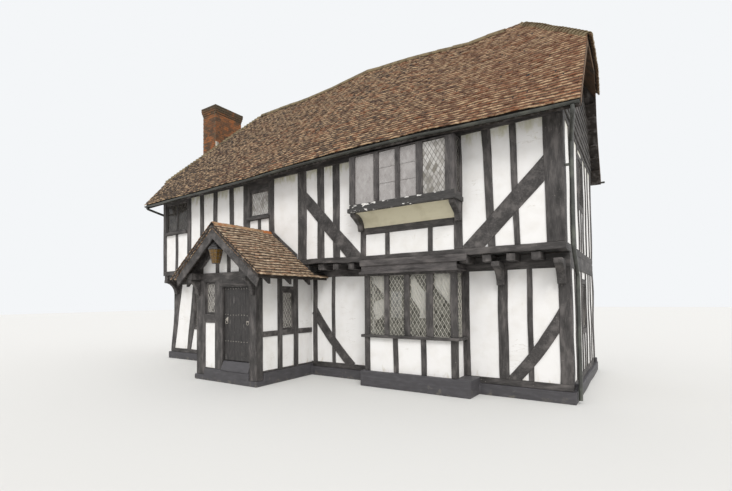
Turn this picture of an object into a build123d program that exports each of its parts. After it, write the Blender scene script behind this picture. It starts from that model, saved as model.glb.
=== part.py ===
"""Half-timbered house: two storeys of oak frame with rendered panels, a jettied front,
a steep plain-tile roof with half-hips, an oriel, a bay window, a gabled porch and an end stack.

Millimetres. X runs along the front from left to right, Y into the building, Z up.
Shapes are drawn from the middle of the upper storey, then moved so that the origin is
the middle of the whole footprint, at the lowest ground.
"""
from build123d import *
import math
import os

# Overall sizes
house_length = 12360
house_depth = 4830
jetty = 495
frame_t = 150
panel_recess = 22

# Levels, from the lowest ground
plinth_top = 220
sill_top = 350
floor_top = 500
head_bottom = 2520
head_top = 2670
joist_top = 2810
bressumer_top = 2955
plate_bottom = 5240
beyond = 2 * house_length

# Faces of the walls
x_left = -house_length / 2
x_right = house_length / 2
y_upper = -house_depth / 2
y_ground = y_upper + jetty
y_rear = house_depth / 2

# Plinth and floors
plinth_proud = 60
ledge_w = 120
board_t = 40
corner_post = 220
left_lean = 320
corner_foot = 210
corner_head = 300
window_post = [-588, -795, -918]
joist_w = 165
joist_pitch = 459
joist_middle = 615
joist_back = 40
bracket_w = 150
bracket_drop = 460

# Main roof: top faces of the slopes
eave_out = 445
eave_z = 5280
ridge_z = 8640
roof_t = 100
rafter_d = 110
rafter_w = 90
rafter_pitch = 412
gable_t = 110
verge_left = 240
verge_right = 330
hip_eave_left = 6150
hip_eave_right = 7060
ridge_left = x_left + 2230
ridge_right = x_right - 1160
ridge_tile_r = 130
hip_tile_r = 85
tile_shell = 25

# Rainwater goods
gutter_r = 50
gutter_t = 6
gutter_drop = 110
gutter_lugs = 8
pipe_r = 36

# Chimney stack against the left gable
stack_w = 760
stack_y0 = -330
stack_y1 = 880
stack_top = 9170
stack_wall = 110
cap_course = 75
cap_rise = 300
cap_top = stack_top + cap_rise
cap_proud = 50

# Bay window on the ground storey
bay_x0 = 1930
bay_x1 = 4140
bay_plinth_top = 347
bay_plinth_proud = 80
bay_plinth_right = 4440
bay_frame_t = 120
bay_left_post = 140
bay_right_post = 125
bay_back_post = 70
bay_sill_z = 1101
bay_sill_t = 62
bay_head_z = 2485
bay_lights = [(2070, 2460), (2580, 2960), (3090, 3480), (3630, 4015)]
bay_studs = [(2670, 2790), (3340, 3460)]

# Oriel window under the eaves
oriel_x0 = 1810
oriel_x1 = 4300
oriel_out = 400
oriel_post = 150
oriel_sill_z = 3895
oriel_glass_z = 4075
oriel_head_z = 5090
oriel_lights = [(1960, 2470), (2590, 2990), (3100, 3480), (3620, 4110)]
cove_bottom = 3600

# Porch
porch_x0 = -2249
porch_x1 = -64
porch_y = -3864
porch_t = 130
porch_plinth_top = 290
porch_sill_top = 330
porch_plinth_proud = 35
porch_left_post = 340
porch_right_post = 225
porch_post_d = 215
porch_post_foot = 120
porch_plate_z = 2480
porch_plate_top = 2650
porch_ridge_x = -1130
porch_ridge_z = 3760
porch_eave_z = 2520
porch_half = 1570
porch_roof_t = 45
porch_front_y = -4258
porch_rafter_w = 75
porch_rafter_d = 150
barge_t = 40
barge_w = 220
barge_short = 110
flashing_w = 165

# Windows and doorway of the front wall, each as left, right, bottom, top
ground_window = (x_left + 1005, x_left + 1830, 1130, 2200)
left_window = (x_left + 175, x_left + 1330, 4245, 5190)
small_window = (-1920, -1170, 4300, 5010)
inner_door = (-1560, -700, 2300)
storey_post_left = 4120

# Windows of the rear and side walls
rear_window = 1100
side_window = 700
ground_sill, ground_head = 1250, 2250
upper_sill, upper_head = 4000, 5000
left_wall_studs = 5
left_wall_stud_w = 120

# Front door
door_x0 = -1250
door_x1 = -289
door_top = 2300
door_gap = 8
leaf_t = 45
leaf_set = 64
leaf_bottom = 535
pin_x = -306
pin_y = -3743
pin_r = 5
pin_play = 0.3
eye_r = 11
hinge_z = (860, 1960)

# Glass and window joinery
glass_t = 6
casement_w = 45
casement_d = 60

# Middle of the whole footprint, where the origin goes
middle_x = (x_left - stack_w - cap_proud + x_right + verge_right) / 2
middle_y = (porch_front_y + y_rear + eave_out + 2 * gutter_r) / 2


def rect(x0, x1, z0, z1):
    """A rectangle of a wall drawing, as its four corners."""
    return [(x0, z0), (x1, z0), (x1, z1), (x0, z1)]


def face(points):
    """A flat face from the corners of its outline."""
    return make_face(Polyline(*points, close=True))


def sheet(outlines):
    """One drawing from several outlines, or None where there are none."""
    drawing = None
    for outline in outlines:
        drawing = face(outline) if drawing is None else drawing + face(outline)
    return drawing


def cut(drawing, *tools):
    """A drawing less each of the tools that there is."""
    for tool in tools:
        if drawing is not None and tool is not None:
            drawing = drawing - tool
    return drawing


def block(x0, x1, y0, y1, z0, z1):
    """A box between two corners."""
    return Pos((x0 + x1) / 2, (y0 + y1) / 2, (z0 + z1) / 2) * Box(x1 - x0, y1 - y0, z1 - z0)


def along_x(points, x0, x1):
    """A section drawn in Y and Z, running from x0 to x1."""
    plane = Plane(origin=(x0, 0, 0), x_dir=(0, 1, 0), z_dir=(1, 0, 0))
    return extrude(plane * face(points), x1 - x0)


def along_y(points, y0, y1):
    """A section drawn in X and Z, running from y0 to y1."""
    plane = Plane(origin=(0, y0, 0), x_dir=(1, 0, 0), z_dir=(0, -1, 0))
    return extrude(plane * face(points), -(y1 - y0))


def arc_band(start, end, bulge, width, steps=7):
    """A bent timber: its upper edge runs from start to end, sagging by bulge."""
    (ax, az), (bx, bz) = start, end
    length = math.hypot(bx - ax, bz - az)
    nx, nz = (bz - az) / length, -(bx - ax) / length
    if nz > 0:
        nx, nz = -nx, -nz
    upper = []
    for i in range(steps + 1):
        t = i / steps
        sag = 4 * bulge * t * (1 - t)
        upper.append((ax + (bx - ax) * t + nx * sag, az + (bz - az) * t + nz * sag))
    lower = [(px + nx * width, pz + nz * width) for px, pz in upper]
    return upper + lower[::-1]


class Wall:
    """The outer face of one wall. Drawings on it use s along the wall and z up."""

    def __init__(self, side, position):
        self.inward = 1 if side in ("rear", "left") else -1
        if side in ("front", "rear"):
            self.plane = Plane(origin=(0, position, 0), x_dir=(1, 0, 0), z_dir=(0, -1, 0))
        else:
            self.plane = Plane(origin=(position, 0, 0), x_dir=(0, 1, 0), z_dir=(1, 0, 0))

    def solid(self, drawing, near, far):
        """The drawing made solid, from depth near to depth far inside the face."""
        plane = self.plane.offset(self.inward * near)
        return extrude(plane * drawing, self.inward * (far - near))


nodes = {}


def add(name, *shapes):
    """Puts the solids of the shapes in the named node."""
    for shape in shapes:
        if shape is not None:
            nodes.setdefault(name, []).extend(shape.solids())


def framed_wall(wall, outline, names, posts=(), rails=(), braces=(), studs=(), holes=(),
                depth=frame_t):
    """Posts run through, rails stop at posts, braces at both, studs at all three.
    Panels fill what is left around the holes."""
    post = cut(sheet(posts))
    rail = cut(sheet(rails), post)
    brace = cut(sheet(braces), post, rail)
    if brace is not None:
        brace = brace & face(outline)
    stud = cut(sheet(studs), post, rail, brace)
    hole = sheet(holes)
    for kind, drawing in (("posts", post), ("rails", rail), ("braces", brace), ("studs", stud)):
        clear = cut(drawing, hole)
        if clear is not None:
            add(names[kind], wall.solid(clear, 0, depth))
    panel = cut(face(outline), post, rail, brace, stud, hole)
    add(names["panels"], wall.solid(panel, panel_recess, depth))


def window(wall, x0, x1, z0, z1, lights, frame_name, glass_name, near=25):
    """A fixed frame with upright bars between its lights, and a pane in each light."""
    bar = casement_w
    pitch = (x1 - x0 - bar) / lights
    ring = face(rect(x0, x1, z0, z1))
    for i in range(lights):
        a = x0 + bar + i * pitch
        pane = face(rect(a, a + pitch - bar, z0 + bar, z1 - bar))
        ring = ring - pane
        middle = near + casement_d / 2
        add(glass_name, wall.solid(pane, middle - glass_t / 2, middle + glass_t / 2))
    add(frame_name, wall.solid(ring, near, near + casement_d))


def stud_row(first, last, count, width, z0, z1):
    """Upright studs of one width, evenly spaced between two edges."""
    gap = (last - first - count * width) / (count + 1)
    return [rect(first + gap + i * (gap + width), first + gap + i * (gap + width) + width, z0, z1)
            for i in range(count)]


def lean_x(z):
    """The outer face of the left ground wall, which leans out at its foot."""
    return x_left - left_lean * (head_bottom - z) / (head_bottom - sill_top)


stack = block(x_left - stack_w, x_left, stack_y0, stack_y1, 0, stack_top)
stack_void = block(x_left - stack_w, x_left, stack_y0, stack_y1, -beyond, beyond)


def plinths():
    """Tarred masonry under the ground walls, with an inner ledge for the floor."""
    x_foot = lean_x(sill_top)
    outer_x0 = x_foot - plinth_proud
    outer_x1 = x_right + plinth_proud
    inner = frame_t + ledge_w
    front = along_x([(y_ground - plinth_proud, 0), (y_ground + inner, 0), (y_ground + inner, sill_top),
                     (y_ground + frame_t, sill_top), (y_ground + frame_t, plinth_top),
                     (y_ground - plinth_proud, plinth_top)], outer_x0, outer_x1)
    rear = along_x([(y_rear + plinth_proud, 0), (y_rear - inner, 0), (y_rear - inner, sill_top),
                    (y_rear - frame_t, sill_top), (y_rear - frame_t, plinth_top),
                    (y_rear + plinth_proud, plinth_top)], outer_x0, outer_x1)
    y0, y1 = y_ground + inner, y_rear - inner
    left = along_y([(outer_x0, 0), (x_foot + inner, 0), (x_foot + inner, sill_top),
                    (x_foot + frame_t, sill_top), (x_foot + frame_t, plinth_top),
                    (outer_x0, plinth_top)], y0, y1)
    right = along_y([(outer_x1, 0), (x_right - inner, 0), (x_right - inner, sill_top),
                     (x_right - frame_t, sill_top), (x_right - frame_t, plinth_top),
                     (outer_x1, plinth_top)], y0, y1)
    ring = front + rear + (left - stack_void) + right
    p = bay_plinth_proud
    bay_out = block(bay_x0 - p, bay_plinth_right, y_upper - p, y_ground, 0, bay_plinth_top)
    bay_in = block(bay_x0 + 220, bay_x1 - 220, y_upper + 220, y_ground - plinth_proud, -1, beyond)
    p, t = porch_plinth_proud, porch_t + 60
    porch_out = block(porch_x0 - p, porch_x1 + p, porch_y - p, y_ground, 0, porch_plinth_top)
    porch_in = block(porch_x0 + t, porch_x1 - t, porch_y + t, y_ground - plinth_proud, -1, beyond)
    mass = ring + (bay_out - bay_in) + (porch_out - porch_in)
    y0, y1 = porch_y - p - 10, porch_y + porch_post_d
    mass = mass - block(porch_x0 - p - 10, porch_x0 + porch_left_post, y0, y1, porch_post_foot, beyond)
    mass = mass - block(porch_x1 - porch_right_post, porch_x1 + p + 10, y0, y1, porch_post_foot, beyond)
    beds = block(x_foot, x_right, y_ground, y_rear, plinth_top, sill_top) - \
        block(x_foot + frame_t, x_right - frame_t, y_ground + frame_t, y_rear - frame_t, plinth_top, sill_top)
    add("plinth", mass - beds)


def ground_floor():
    """Boarded floor between the inner faces of the ground walls."""
    main = block(lean_x(floor_top) + frame_t, x_right - frame_t, y_ground + frame_t,
                 y_rear - frame_t, sill_top, floor_top)
    for x0, x1 in ((lean_x(sill_top), lean_x(floor_top) + corner_post), (x_right - corner_post, x_right)):
        for y0, y1 in ((y_ground, y_ground + corner_post), (y_rear - corner_post, y_rear)):
            main = main - block(x0, x1, y0, y1, sill_top, floor_top)
    in_bay = block(bay_x0 + bay_left_post, bay_x1 - bay_right_post, y_upper + bay_frame_t,
                   y_ground + frame_t, sill_top, floor_top)
    add("ground_floor", main + in_bay - stack_void)


def ring_beams():
    """Sills under the ground frame, head beams over it, and the upper storey's sills."""
    x_foot = lean_x(sill_top)
    for y0 in (y_ground, y_rear - frame_t):
        add("sill_beams", block(x_foot, x_right, y0, y0 + frame_t, plinth_top, sill_top))
        add("head_beams", block(x_left, x_right, y0, y0 + frame_t, head_bottom, head_top))
    y0, y1 = y_ground + frame_t, y_rear - frame_t
    add("cross_beams",
        block(x_foot, x_foot + frame_t, y0, y1, plinth_top, sill_top) - stack_void,
        block(x_right - frame_t, x_right, y0, y1, plinth_top, sill_top))
    for x0 in (x_left, x_right - frame_t):
        add("cross_beams", block(x0, x0 + frame_t, y0, y1, head_bottom, joist_top))
    add("bressumers", block(x_left, x_right, y_upper, y_upper + frame_t, joist_top, bressumer_top))
    add("bressumers", block(x_left, x_right, y_rear - frame_t, y_rear, joist_top, bressumer_top))
    for x0 in (x_left, x_right - frame_t):
        add("end_sills", block(x0, x0 + frame_t, y_upper + frame_t, y_rear - frame_t,
                               joist_top, bressumer_top))


def upper_floor():
    """Joists that oversail the front wall, blocking between them, and the boards on top."""
    reach = house_length / 2 - frame_t - joist_w / 2
    first = joist_middle - joist_pitch * math.floor((joist_middle + reach) / joist_pitch)
    count = int((reach - first) // joist_pitch) + 1
    edges = [x_left]
    for i in range(count):
        x0 = first + i * joist_pitch - joist_w / 2
        x1 = x0 + joist_w
        add("floor_joists", block(x0, x1, y_upper + joist_back, y_rear - joist_back, head_top, joist_top))
        edges += [x0, x1]
    edges.append(x_right)
    for x0, x1 in zip(edges[::2], edges[1::2]):
        for y0 in (y_ground, y_rear - frame_t):
            add("wall_rails", block(x0, x1, y0, y0 + frame_t, head_top, joist_top))
    add("upper_floor_boards", block(x_left + frame_t, x_right - frame_t, y_upper + frame_t,
                                    y_rear - frame_t, joist_top, joist_top + board_t))


def ground_front():
    """The front wall of the ground storey, open behind the bay and at the inner doorway."""
    wall = Wall("front", y_ground)
    lo, hi = sill_top, head_bottom
    wx0, wx1, wz0, wz1 = ground_window
    dx0, dx1, dz1 = inner_door
    corner_left = [(lean_x(lo), lo), (lean_x(lo) + corner_foot, lo), (x_left + corner_head, hi),
                   (x_left, hi)]
    corner_right = rect(x_right - corner_post, x_right, lo, hi)
    jowl = block(x_left + corner_post, x_left + corner_head, y_ground + frame_t, y_ground + corner_post, lo, hi)
    add("ground_posts", wall.solid(face(corner_left), 0, corner_post) - jowl,
        wall.solid(face(corner_right), 0, corner_post))
    bay_in0, bay_in1 = bay_x0 + bay_left_post, bay_x1 - frame_t + 50
    left, right, top = (x_left - a for a in window_post)
    posts = [[(left, lo), (right, lo), (wx0, wz0), (wx0, hi), (top, hi)], rect(wx1, wx1 + 140, lo, hi),
             rect(porch_x0, porch_x0 + 180, lo, hi), rect(dx0 - 140, dx0, lo, hi),
             rect(dx1, dx1 + 140, lo, hi), rect(-30, 110, lo, hi),
             rect(bay_x0, bay_in0, lo, hi), rect(bay_in1, bay_x1 + 103, lo, hi),
             rect(x_right - 1349, x_right - 1153, lo, hi)]
    rails = [rect(wx0, wx1, wz0 - 110, wz0), rect(wx0, wx1, wz1, wz1 + 120),
             rect(dx0, dx1, dz1, dz1 + 130)]
    braces = [arc_band((110, 1760), (1300, 380), 60, 225),
              arc_band((x_right - corner_post, 1760), (x_right - 1190, 380), 60, 225)]
    studs = [rect(590, 695, lo, hi), rect(x_right - 780, x_right - 680, lo, hi),
             rect(-3760, -3640, lo, hi), rect(-3060, -2940, lo, hi),
             rect(wx0 + 420, wx0 + 520, lo, wz0)]
    holes = [rect(wx0, wx1, wz0, wz1), rect(dx0, dx1, lo, dz1), rect(bay_in0, bay_in1, lo, hi)]
    outline = [(lean_x(lo) + corner_foot, lo), (x_right - corner_post, lo), (x_right - corner_post, hi),
               (x_left + corner_head, hi)]
    names = dict(posts="ground_posts", rails="wall_rails", braces="wall_braces",
                 studs="wall_studs", panels="ground_front_panels")
    framed_wall(wall, outline, names, posts, rails, braces, studs, holes)
    window(wall, wx0, wx1, wz0, wz1, 2, "window_frames", "window_glass")
    bar = (dx0, dx1, y_ground, y_ground + frame_t, sill_top, floor_top)
    add("wall_rails", block(*bar))


def jetty_brackets():
    """Curved brackets from the posts to the joists under the jetty."""
    drop, reach = bracket_drop, jetty - joist_back
    for x0 in (x_left, -2940, x_right - 1349, x_right - corner_post):
        points = [(y_ground, head_top), (y_ground - reach, head_top), (y_ground - reach, head_top - 90)]
        for i in range(1, 6):
            a = i / 6 * math.pi / 2
            points.append((y_ground - reach + (reach - 90) * math.sin(a),
                           head_top - 90 - (drop - 90) * (1 - math.cos(a))))
        points += [(y_ground - 90, head_top - drop), (y_ground, head_top - drop)]
        add("curved_brackets", along_x(points, x0, x0 + bracket_w))


def side_windows(wall, names, s0, s1, z0, z1, count, size, rows, lean=0):
    """A plain framed wall: windows evenly spaced, a post each side of each, studs between.
    Its first edge leans by the given amount from foot to head."""
    width, sill, head = size
    gap = (s1 - s0 - count * width) / (count + 1) if count else s1 - s0
    posts, rails, studs, holes = [], [], [], []
    left = s0
    for i in range(count):
        a = s0 + gap + i * (gap + width)
        posts += [rect(a - 130, a, z0, z1), rect(a + width, a + width + 130, z0, z1)]
        rails += [rect(a, a + width, sill - 110, sill), rect(a, a + width, head, min(head + 110, z1))]
        holes.append(rect(a, a + width, sill, head))
        studs += stud_row(a, a + width, 1, 100, z0, sill)
        studs += stud_row(left, a - 130, rows, 110, z0, z1)
        window(wall, a, a + width, sill, head, 2, names["frames"], names["glass"])
        left = a + width + 130
    studs += stud_row(left, s1, rows, 110, z0, z1)
    kinds = dict(posts=names["timbers"], rails=names["rails"], braces=names["timbers"],
                 studs=names["studs"], panels=names["panels"])
    outline = [(s0, z0), (s1, z0), (s1, z1), (s0 + lean, z1)]
    framed_wall(wall, outline, kinds, posts, rails, (), studs, holes)


def rear_and_side_walls():
    """The unseen walls repeat the front's posts, studs, panels and windows."""
    lo, hi = sill_top, head_bottom
    c = corner_post
    rear = Wall("rear", y_rear)
    left_corner = [(lean_x(lo), lo), (lean_x(lo) + c, lo), (x_left + c, hi), (x_left, hi)]
    add("ground_posts", rear.solid(face(left_corner), 0, c),
        rear.solid(face(rect(x_right - c, x_right, lo, hi)), 0, c))
    ground = dict(timbers="ground_posts", rails="wall_rails", studs="wall_studs",
                  panels="ground_back_panels", frames="window_frames", glass="window_glass")
    side_windows(rear, ground, lean_x(lo) + c, x_right - c, lo, hi, 3,
                 (rear_window, ground_sill, ground_head), 2, left_lean)
    add("upper_posts",
        rear.solid(face(rect(x_left, x_left + c, bressumer_top, plate_bottom)), 0, c),
        rear.solid(face(rect(x_right - c, x_right, bressumer_top, plate_bottom)), 0, c))
    upper = dict(timbers="upper_posts", rails="wall_rails", studs="wall_studs",
                 panels="upper_back_panels", frames="window_frames", glass="window_glass")
    side_windows(rear, upper, x_left + c, x_right - c, bressumer_top, plate_bottom, 3,
                 (rear_window, upper_sill, upper_head), 2)
    right = Wall("right", x_right)
    ends = dict(timbers="ground_posts", rails="wall_rails", studs="wall_studs",
                panels="ground_back_panels", frames="window_frames", glass="window_glass")
    side_windows(right, ends, y_ground + c, y_rear - c, lo, hi, 1,
                 (side_window, ground_sill, ground_head), 2)
    ends = dict(ends, timbers="upper_posts", panels="upper_back_panels")
    side_windows(right, ends, y_upper + c, y_rear - c, bressumer_top, plate_bottom, 1,
                 (side_window, upper_sill, upper_head), 2)
    left_ground_wall(y_ground + c, y_rear - c)
    left = Wall("left", x_left)
    plain = dict(ends, timbers="wall_studs", rails="wall_studs", studs="wall_studs",
                 panels="upper_back_panels")
    side_windows(left, plain, y_upper + c, y_rear - c, bressumer_top, plate_bottom, 0,
                 (side_window, upper_sill, upper_head), 7)


def left_ground_wall(y0, y1):
    """Studs and panels between the corner posts of the leaning left wall."""
    count, width = left_wall_studs, left_wall_stud_w
    gap = (y1 - y0 - count * width) / (count + 1)

    def slab(a, b, near):
        lo, hi = sill_top, head_bottom
        section = [(lean_x(lo) + near, lo), (lean_x(lo) + frame_t, lo), (x_left + frame_t, hi),
                   (x_left + near, hi)]
        return along_y(section, a, b) - stack_void

    for i in range(count + 1):
        a = y0 + i * (gap + width)
        add("ground_back_panels", slab(a, a + gap, panel_recess))
        if i < count:
            add("wall_studs", slab(a + gap, a + gap + width, 0))


def upper_front():
    """The jettied front wall of the upper storey, open behind the oriel."""
    wall = Wall("front", y_upper)
    lo, hi = bressumer_top, plate_bottom
    right_post = x_right - 310
    add("upper_posts",
        wall.solid(face(rect(x_left, x_left + 175, lo, hi)), 0, corner_post),
        wall.solid(face([(right_post, lo), (x_right, lo), (x_right, hi), (right_post - 40, hi),
                         (right_post - 20, 4300)]), 0, corner_post))
    ax0, ax1, az0, az1 = left_window
    bx0, bx1, bz0, bz1 = small_window
    ox0, ox1 = oriel_x0 + 175, oriel_x1 - 165
    posts = [rect(ax1, ax1 + 200, lo, hi), rect(bx0 - 270, bx0, lo, hi), rect(bx1, bx1 + 200, lo, hi),
             rect(-105, 183, lo, hi), rect(oriel_x0 + 30, ox0, lo, hi),
             rect(storey_post_left, oriel_x1, lo, hi)]
    rails = [rect(ax0, ax1, az0 - 105, az0), rect(ax0, ax1, az1, hi), rect(bx0, bx1, bz0 - 105, bz0),
             rect(bx0, bx1, bz1, hi), rect(ox0, storey_post_left, cove_bottom - 150, cove_bottom)]
    foot = right_post - 10
    braces = [[(183, 4705), (1900, lo), (1425, lo), (183, 4290)],
              [(foot, 4560), (foot, 4090), (foot - 1135, lo), (foot - 1605, lo)]]
    studs = [rect(x_left + 1990, x_left + 2175, lo, hi), rect(x_left + 2645, x_left + 2830, lo, hi),
             rect(x_left + 3385, x_left + 3565, lo, hi),
             rect(540, 755, lo, hi), rect(1030, 1235, lo, hi),
             [(foot - 1065, lo), (foot - 925, lo), (foot - 975, hi), (foot - 1150, hi)],
             [(foot - 565, lo), (foot - 460, lo), (foot - 500, hi), (foot - 625, hi)],
             rect(2500, 2610, lo, cove_bottom), rect(3540, 3645, lo, cove_bottom),
             rect(ax0 + 515, ax0 + 645, lo, az0), rect(-1590, -1480, lo, bz0)]
    holes = [rect(ax0, ax1, az0, az1), rect(bx0, bx1, bz0, bz1),
             rect(ox0, storey_post_left, cove_bottom, hi)]
    outline = [(x_left + 175, lo), (right_post, lo), (right_post - 20, 4300), (right_post - 40, hi),
               (x_left + 175, hi)]
    names = dict(posts="upper_posts", rails="wall_rails", braces="wall_braces",
                 studs="wall_studs", panels="upper_front_panels")
    framed_wall(wall, outline, names, posts, rails, braces, studs, holes)
    window(wall, ax0, ax1, az0, az1, 2, "window_frames", "window_glass")
    window(wall, bx0, bx1, bz0, bz1, 1, "window_frames", "window_glass")
    for x0, x1, z in ((ax0 - 30, ax1 + 10, az0), (bx0 - 60, bx1 + 50, bz0)):
        add("window_sills", block(x0, x1, y_upper - 60, y_upper, z - 95, z - 20))


def oriel():
    """Oriel box: posts, mullions, head, deep sill board, coved soffit and brackets."""
    y0, y1 = y_upper - oriel_out, y_upper
    x0, x1 = oriel_x0, oriel_x1
    depth = 90
    openings = [block(a, b, y0 - 1, y0 + depth, oriel_glass_z, oriel_head_z) for a, b in oriel_lights]
    returns = block(x0 - 1, x1 + 1, y0 + oriel_post, y1 - 60, oriel_glass_z, oriel_head_z)
    box = block(x0, x1, y0, y1, oriel_sill_z + 90, oriel_head_z + 70)
    hollow = block(x0 + depth, x1 - depth, y0 + depth, y1 + 1, oriel_sill_z + 90, oriel_head_z + 70)
    shell = box - hollow
    for tool in openings + [returns]:
        shell = shell - tool
    lid = block(x0 + depth, x1 - depth, y0 + depth, y1, oriel_head_z + 20, oriel_head_z + 70)
    add("oriel_frame", shell + lid)
    middle = y0 + 35
    for a, b in oriel_lights:
        add("window_glass", block(a, b, middle, middle + glass_t, oriel_glass_z, oriel_head_z))
    for gx in (x0 + 35, x1 - 35 - glass_t):
        add("window_glass", block(gx, gx + glass_t, y0 + oriel_post, y1 - 60, oriel_glass_z, oriel_head_z))
    add("window_sills", block(x0 - 30, x1 + 30, y0 - 40, y1, oriel_sill_z, oriel_sill_z + 90))
    curve = [(y1, cove_bottom)]
    for i in range(9):
        a = i / 8 * math.pi / 2
        curve.append((y1 - (oriel_out - 60) * (1 - math.cos(a)) - 15,
                      cove_bottom + (oriel_sill_z - cove_bottom) * math.sin(a)))
    curve.append((y1, oriel_sill_z))
    add("oriel_cove", along_x(curve, x0 + 140, x1 - 140))
    bracket = [(y1, cove_bottom - 80), (y1 - 70, cove_bottom - 80), (y1 - 110, cove_bottom + 60),
               (y1 - 240, cove_bottom + 150), (y0 + 20, oriel_sill_z - 60), (y0 + 20, oriel_sill_z),
               (y1, oriel_sill_z)]
    add("curved_brackets", along_x(bracket, x0 + 10, x0 + 130), along_x(bracket, x1 - 130, x1 - 10))


def bay():
    """Bay window: plinth, framed lower panels, mullioned lights, head, sill and cornice."""
    x0, x1, y0, y1 = bay_x0, bay_x1, y_upper, y_ground
    d = bay_frame_t
    wall = Wall("front", y0)
    lo, sill, glass, head = bay_plinth_top, bay_sill_z, bay_sill_z + bay_sill_t, bay_head_z
    corner_l = block(x0, x0 + bay_left_post, y0, y0 + bay_left_post, lo, sill)
    corner_r = block(x1 - bay_right_post, x1, y0, y0 + bay_right_post, lo, sill)
    mullions = [rect(a[1], b[0], glass, head) for a, b in zip(bay_lights, bay_lights[1:])]
    add("bay_posts", corner_l, corner_r,
        block(x0, x0 + bay_left_post, y0, y0 + bay_left_post, glass, head),
        block(x1 - bay_right_post, x1, y0, y0 + bay_right_post, glass, head))
    for m in mullions:
        add("bay_posts", wall.solid(face(m), 0, d))
    panel = face(rect(x0 + bay_left_post, x1 - bay_right_post, lo, sill))
    for a, b in bay_studs:
        stud = face(rect(a, b, lo, sill))
        add("bay_posts", wall.solid(stud, 0, d))
        panel = panel - stud
    add("bay_panels", wall.solid(panel, panel_recess, d))
    back = y1 - bay_back_post
    for sx, ex, near in ((x0, x0 + d, 1), (x1 - d, x1, -1)):
        post = bay_left_post if near == 1 else bay_right_post
        add("bay_posts", block(sx, ex, back, y1, lo, sill), block(sx, ex, back, y1, glass, head))
        px0 = sx + panel_recess if near == 1 else sx
        px1 = ex if near == 1 else ex - panel_recess
        add("bay_panels", block(px0, px1, y0 + post, back, lo, sill))
        gx = sx + 40 if near == 1 else ex - 40 - glass_t
        add("window_glass", block(gx, gx + glass_t, y0 + post, back, glass, head))
    middle = y0 + 45
    for a, b in bay_lights:
        add("window_glass", block(a, b, middle, middle + glass_t, glass, head))
    s = 60
    room = block(x0 + d, x1 - d, y0 + d, y1 + 1, lo, joist_top)
    add("window_sills", block(x0 - s, x1 + s, y0 - s, y1, sill, glass) - room)
    add("cross_beams", block(x0, x1, y0, y1, head, head_top) - room)
    core = block(x0, x1, y0, y1 + 1, head, bressumer_top)
    step = [(90, 55, head + 45, head + 90), (50, 35, head + 90, head + 225),
            (75, 35, head + 225, joist_top + 40)]
    shape = block(x1, x1 + 250, y0 - 75, y0, head + 225, joist_top + 40)
    for proud, end, za, zb in step:
        shape = shape + (block(x0 - proud, x1 + end, y0 - proud, y1, za, zb) - core)
    add("bay_cornice", shape - block(x0 - 500, x1 + 500, y0, y1 + 1, head_top, joist_top + 100))


def roof_bodies():
    """The outer and inner solids of the roof, whose difference is the tiled covering."""
    x0, x1 = x_left - verge_left, x_right + verge_right
    slope = (ridge_z - eave_z) / (house_depth / 2 + eave_out)
    drop = roof_t * math.sqrt(1 + slope * slope)
    half = house_depth / 2 + eave_out

    def prism(shift, a, b):
        return along_x([(-half, eave_z - shift), (0, ridge_z - shift), (half, eave_z - shift),
                        (half, 0), (-half, 0)], a, b)

    def below_hips(shift, wide):
        sl = (ridge_z - hip_eave_left) / (ridge_left - x0)
        sr = (ridge_z - hip_eave_right) / (x1 - ridge_right)
        dl = shift * math.sqrt(1 + sl * sl)
        dr = shift * math.sqrt(1 + sr * sr)
        top = ridge_z + 2000
        points = [(x0 - wide, 0), (x1 + wide, 0), (x1 + wide, hip_eave_right - dr - wide * sr),
                  (ridge_right - 2000 / sr, top - dr), (ridge_left + 2000 / sl, top - dl),
                  (x0 - wide, hip_eave_left - dl - wide * sl)]
        return along_y(points, -half - 10, half + 10)

    return prism, below_hips, x0, x1, drop, half, slope


def main_roof():
    """Front and rear slopes, half-hips, rafters, gable walls and their tiles and plates."""
    prism, below_hips, x0, x1, drop, half, slope = roof_bodies()
    outer = prism(0, x0, x1) & below_hips(0, 0)
    inner = prism(drop, x0 - 10, x1 + 10)
    under = below_hips(roof_t, 10)
    low = block(x0 - 50, x1 + 50, -half - 50, half + 50, -100, eave_z - drop)
    hips = (outer - under) - low - stack_void
    add("half_hips", hips)
    slopes = (outer & under) - inner - low - stack_void
    add("roof_front", slopes & block(x0 - 50, x1 + 50, -half - 50, 0, 0, ridge_z + 500))
    add("roof_rear", slopes & block(x0 - 50, x1 + 50, 0, half + 50, 0, ridge_z + 500))
    rafters(drop, slope)
    plates_and_gables(prism, below_hips, drop, slope)
    roof_edges(outer, x0, x1, half)


def rafters(drop, slope):
    """Paired rafters under the slopes, from the eaves plates to the ridge."""
    root = math.sqrt(1 + slope * slope)
    deep = drop + rafter_d * root
    reach = house_depth / 2 + 85
    count = int((ridge_right - ridge_left) // rafter_pitch)
    for i in range(count + 1):
        a = ridge_left + i * (ridge_right - ridge_left - rafter_w) / count
        for side in (-1, 1):
            z_foot = ridge_z - reach * slope
            top = side * 0.5
            points = [(top, ridge_z - drop - 0.5 * slope), (side * reach, z_foot - drop),
                      (side * reach, z_foot - deep), (top, ridge_z - deep - 0.5 * slope)]
            add("rafters", along_x(points, a, a + rafter_w))


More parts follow.
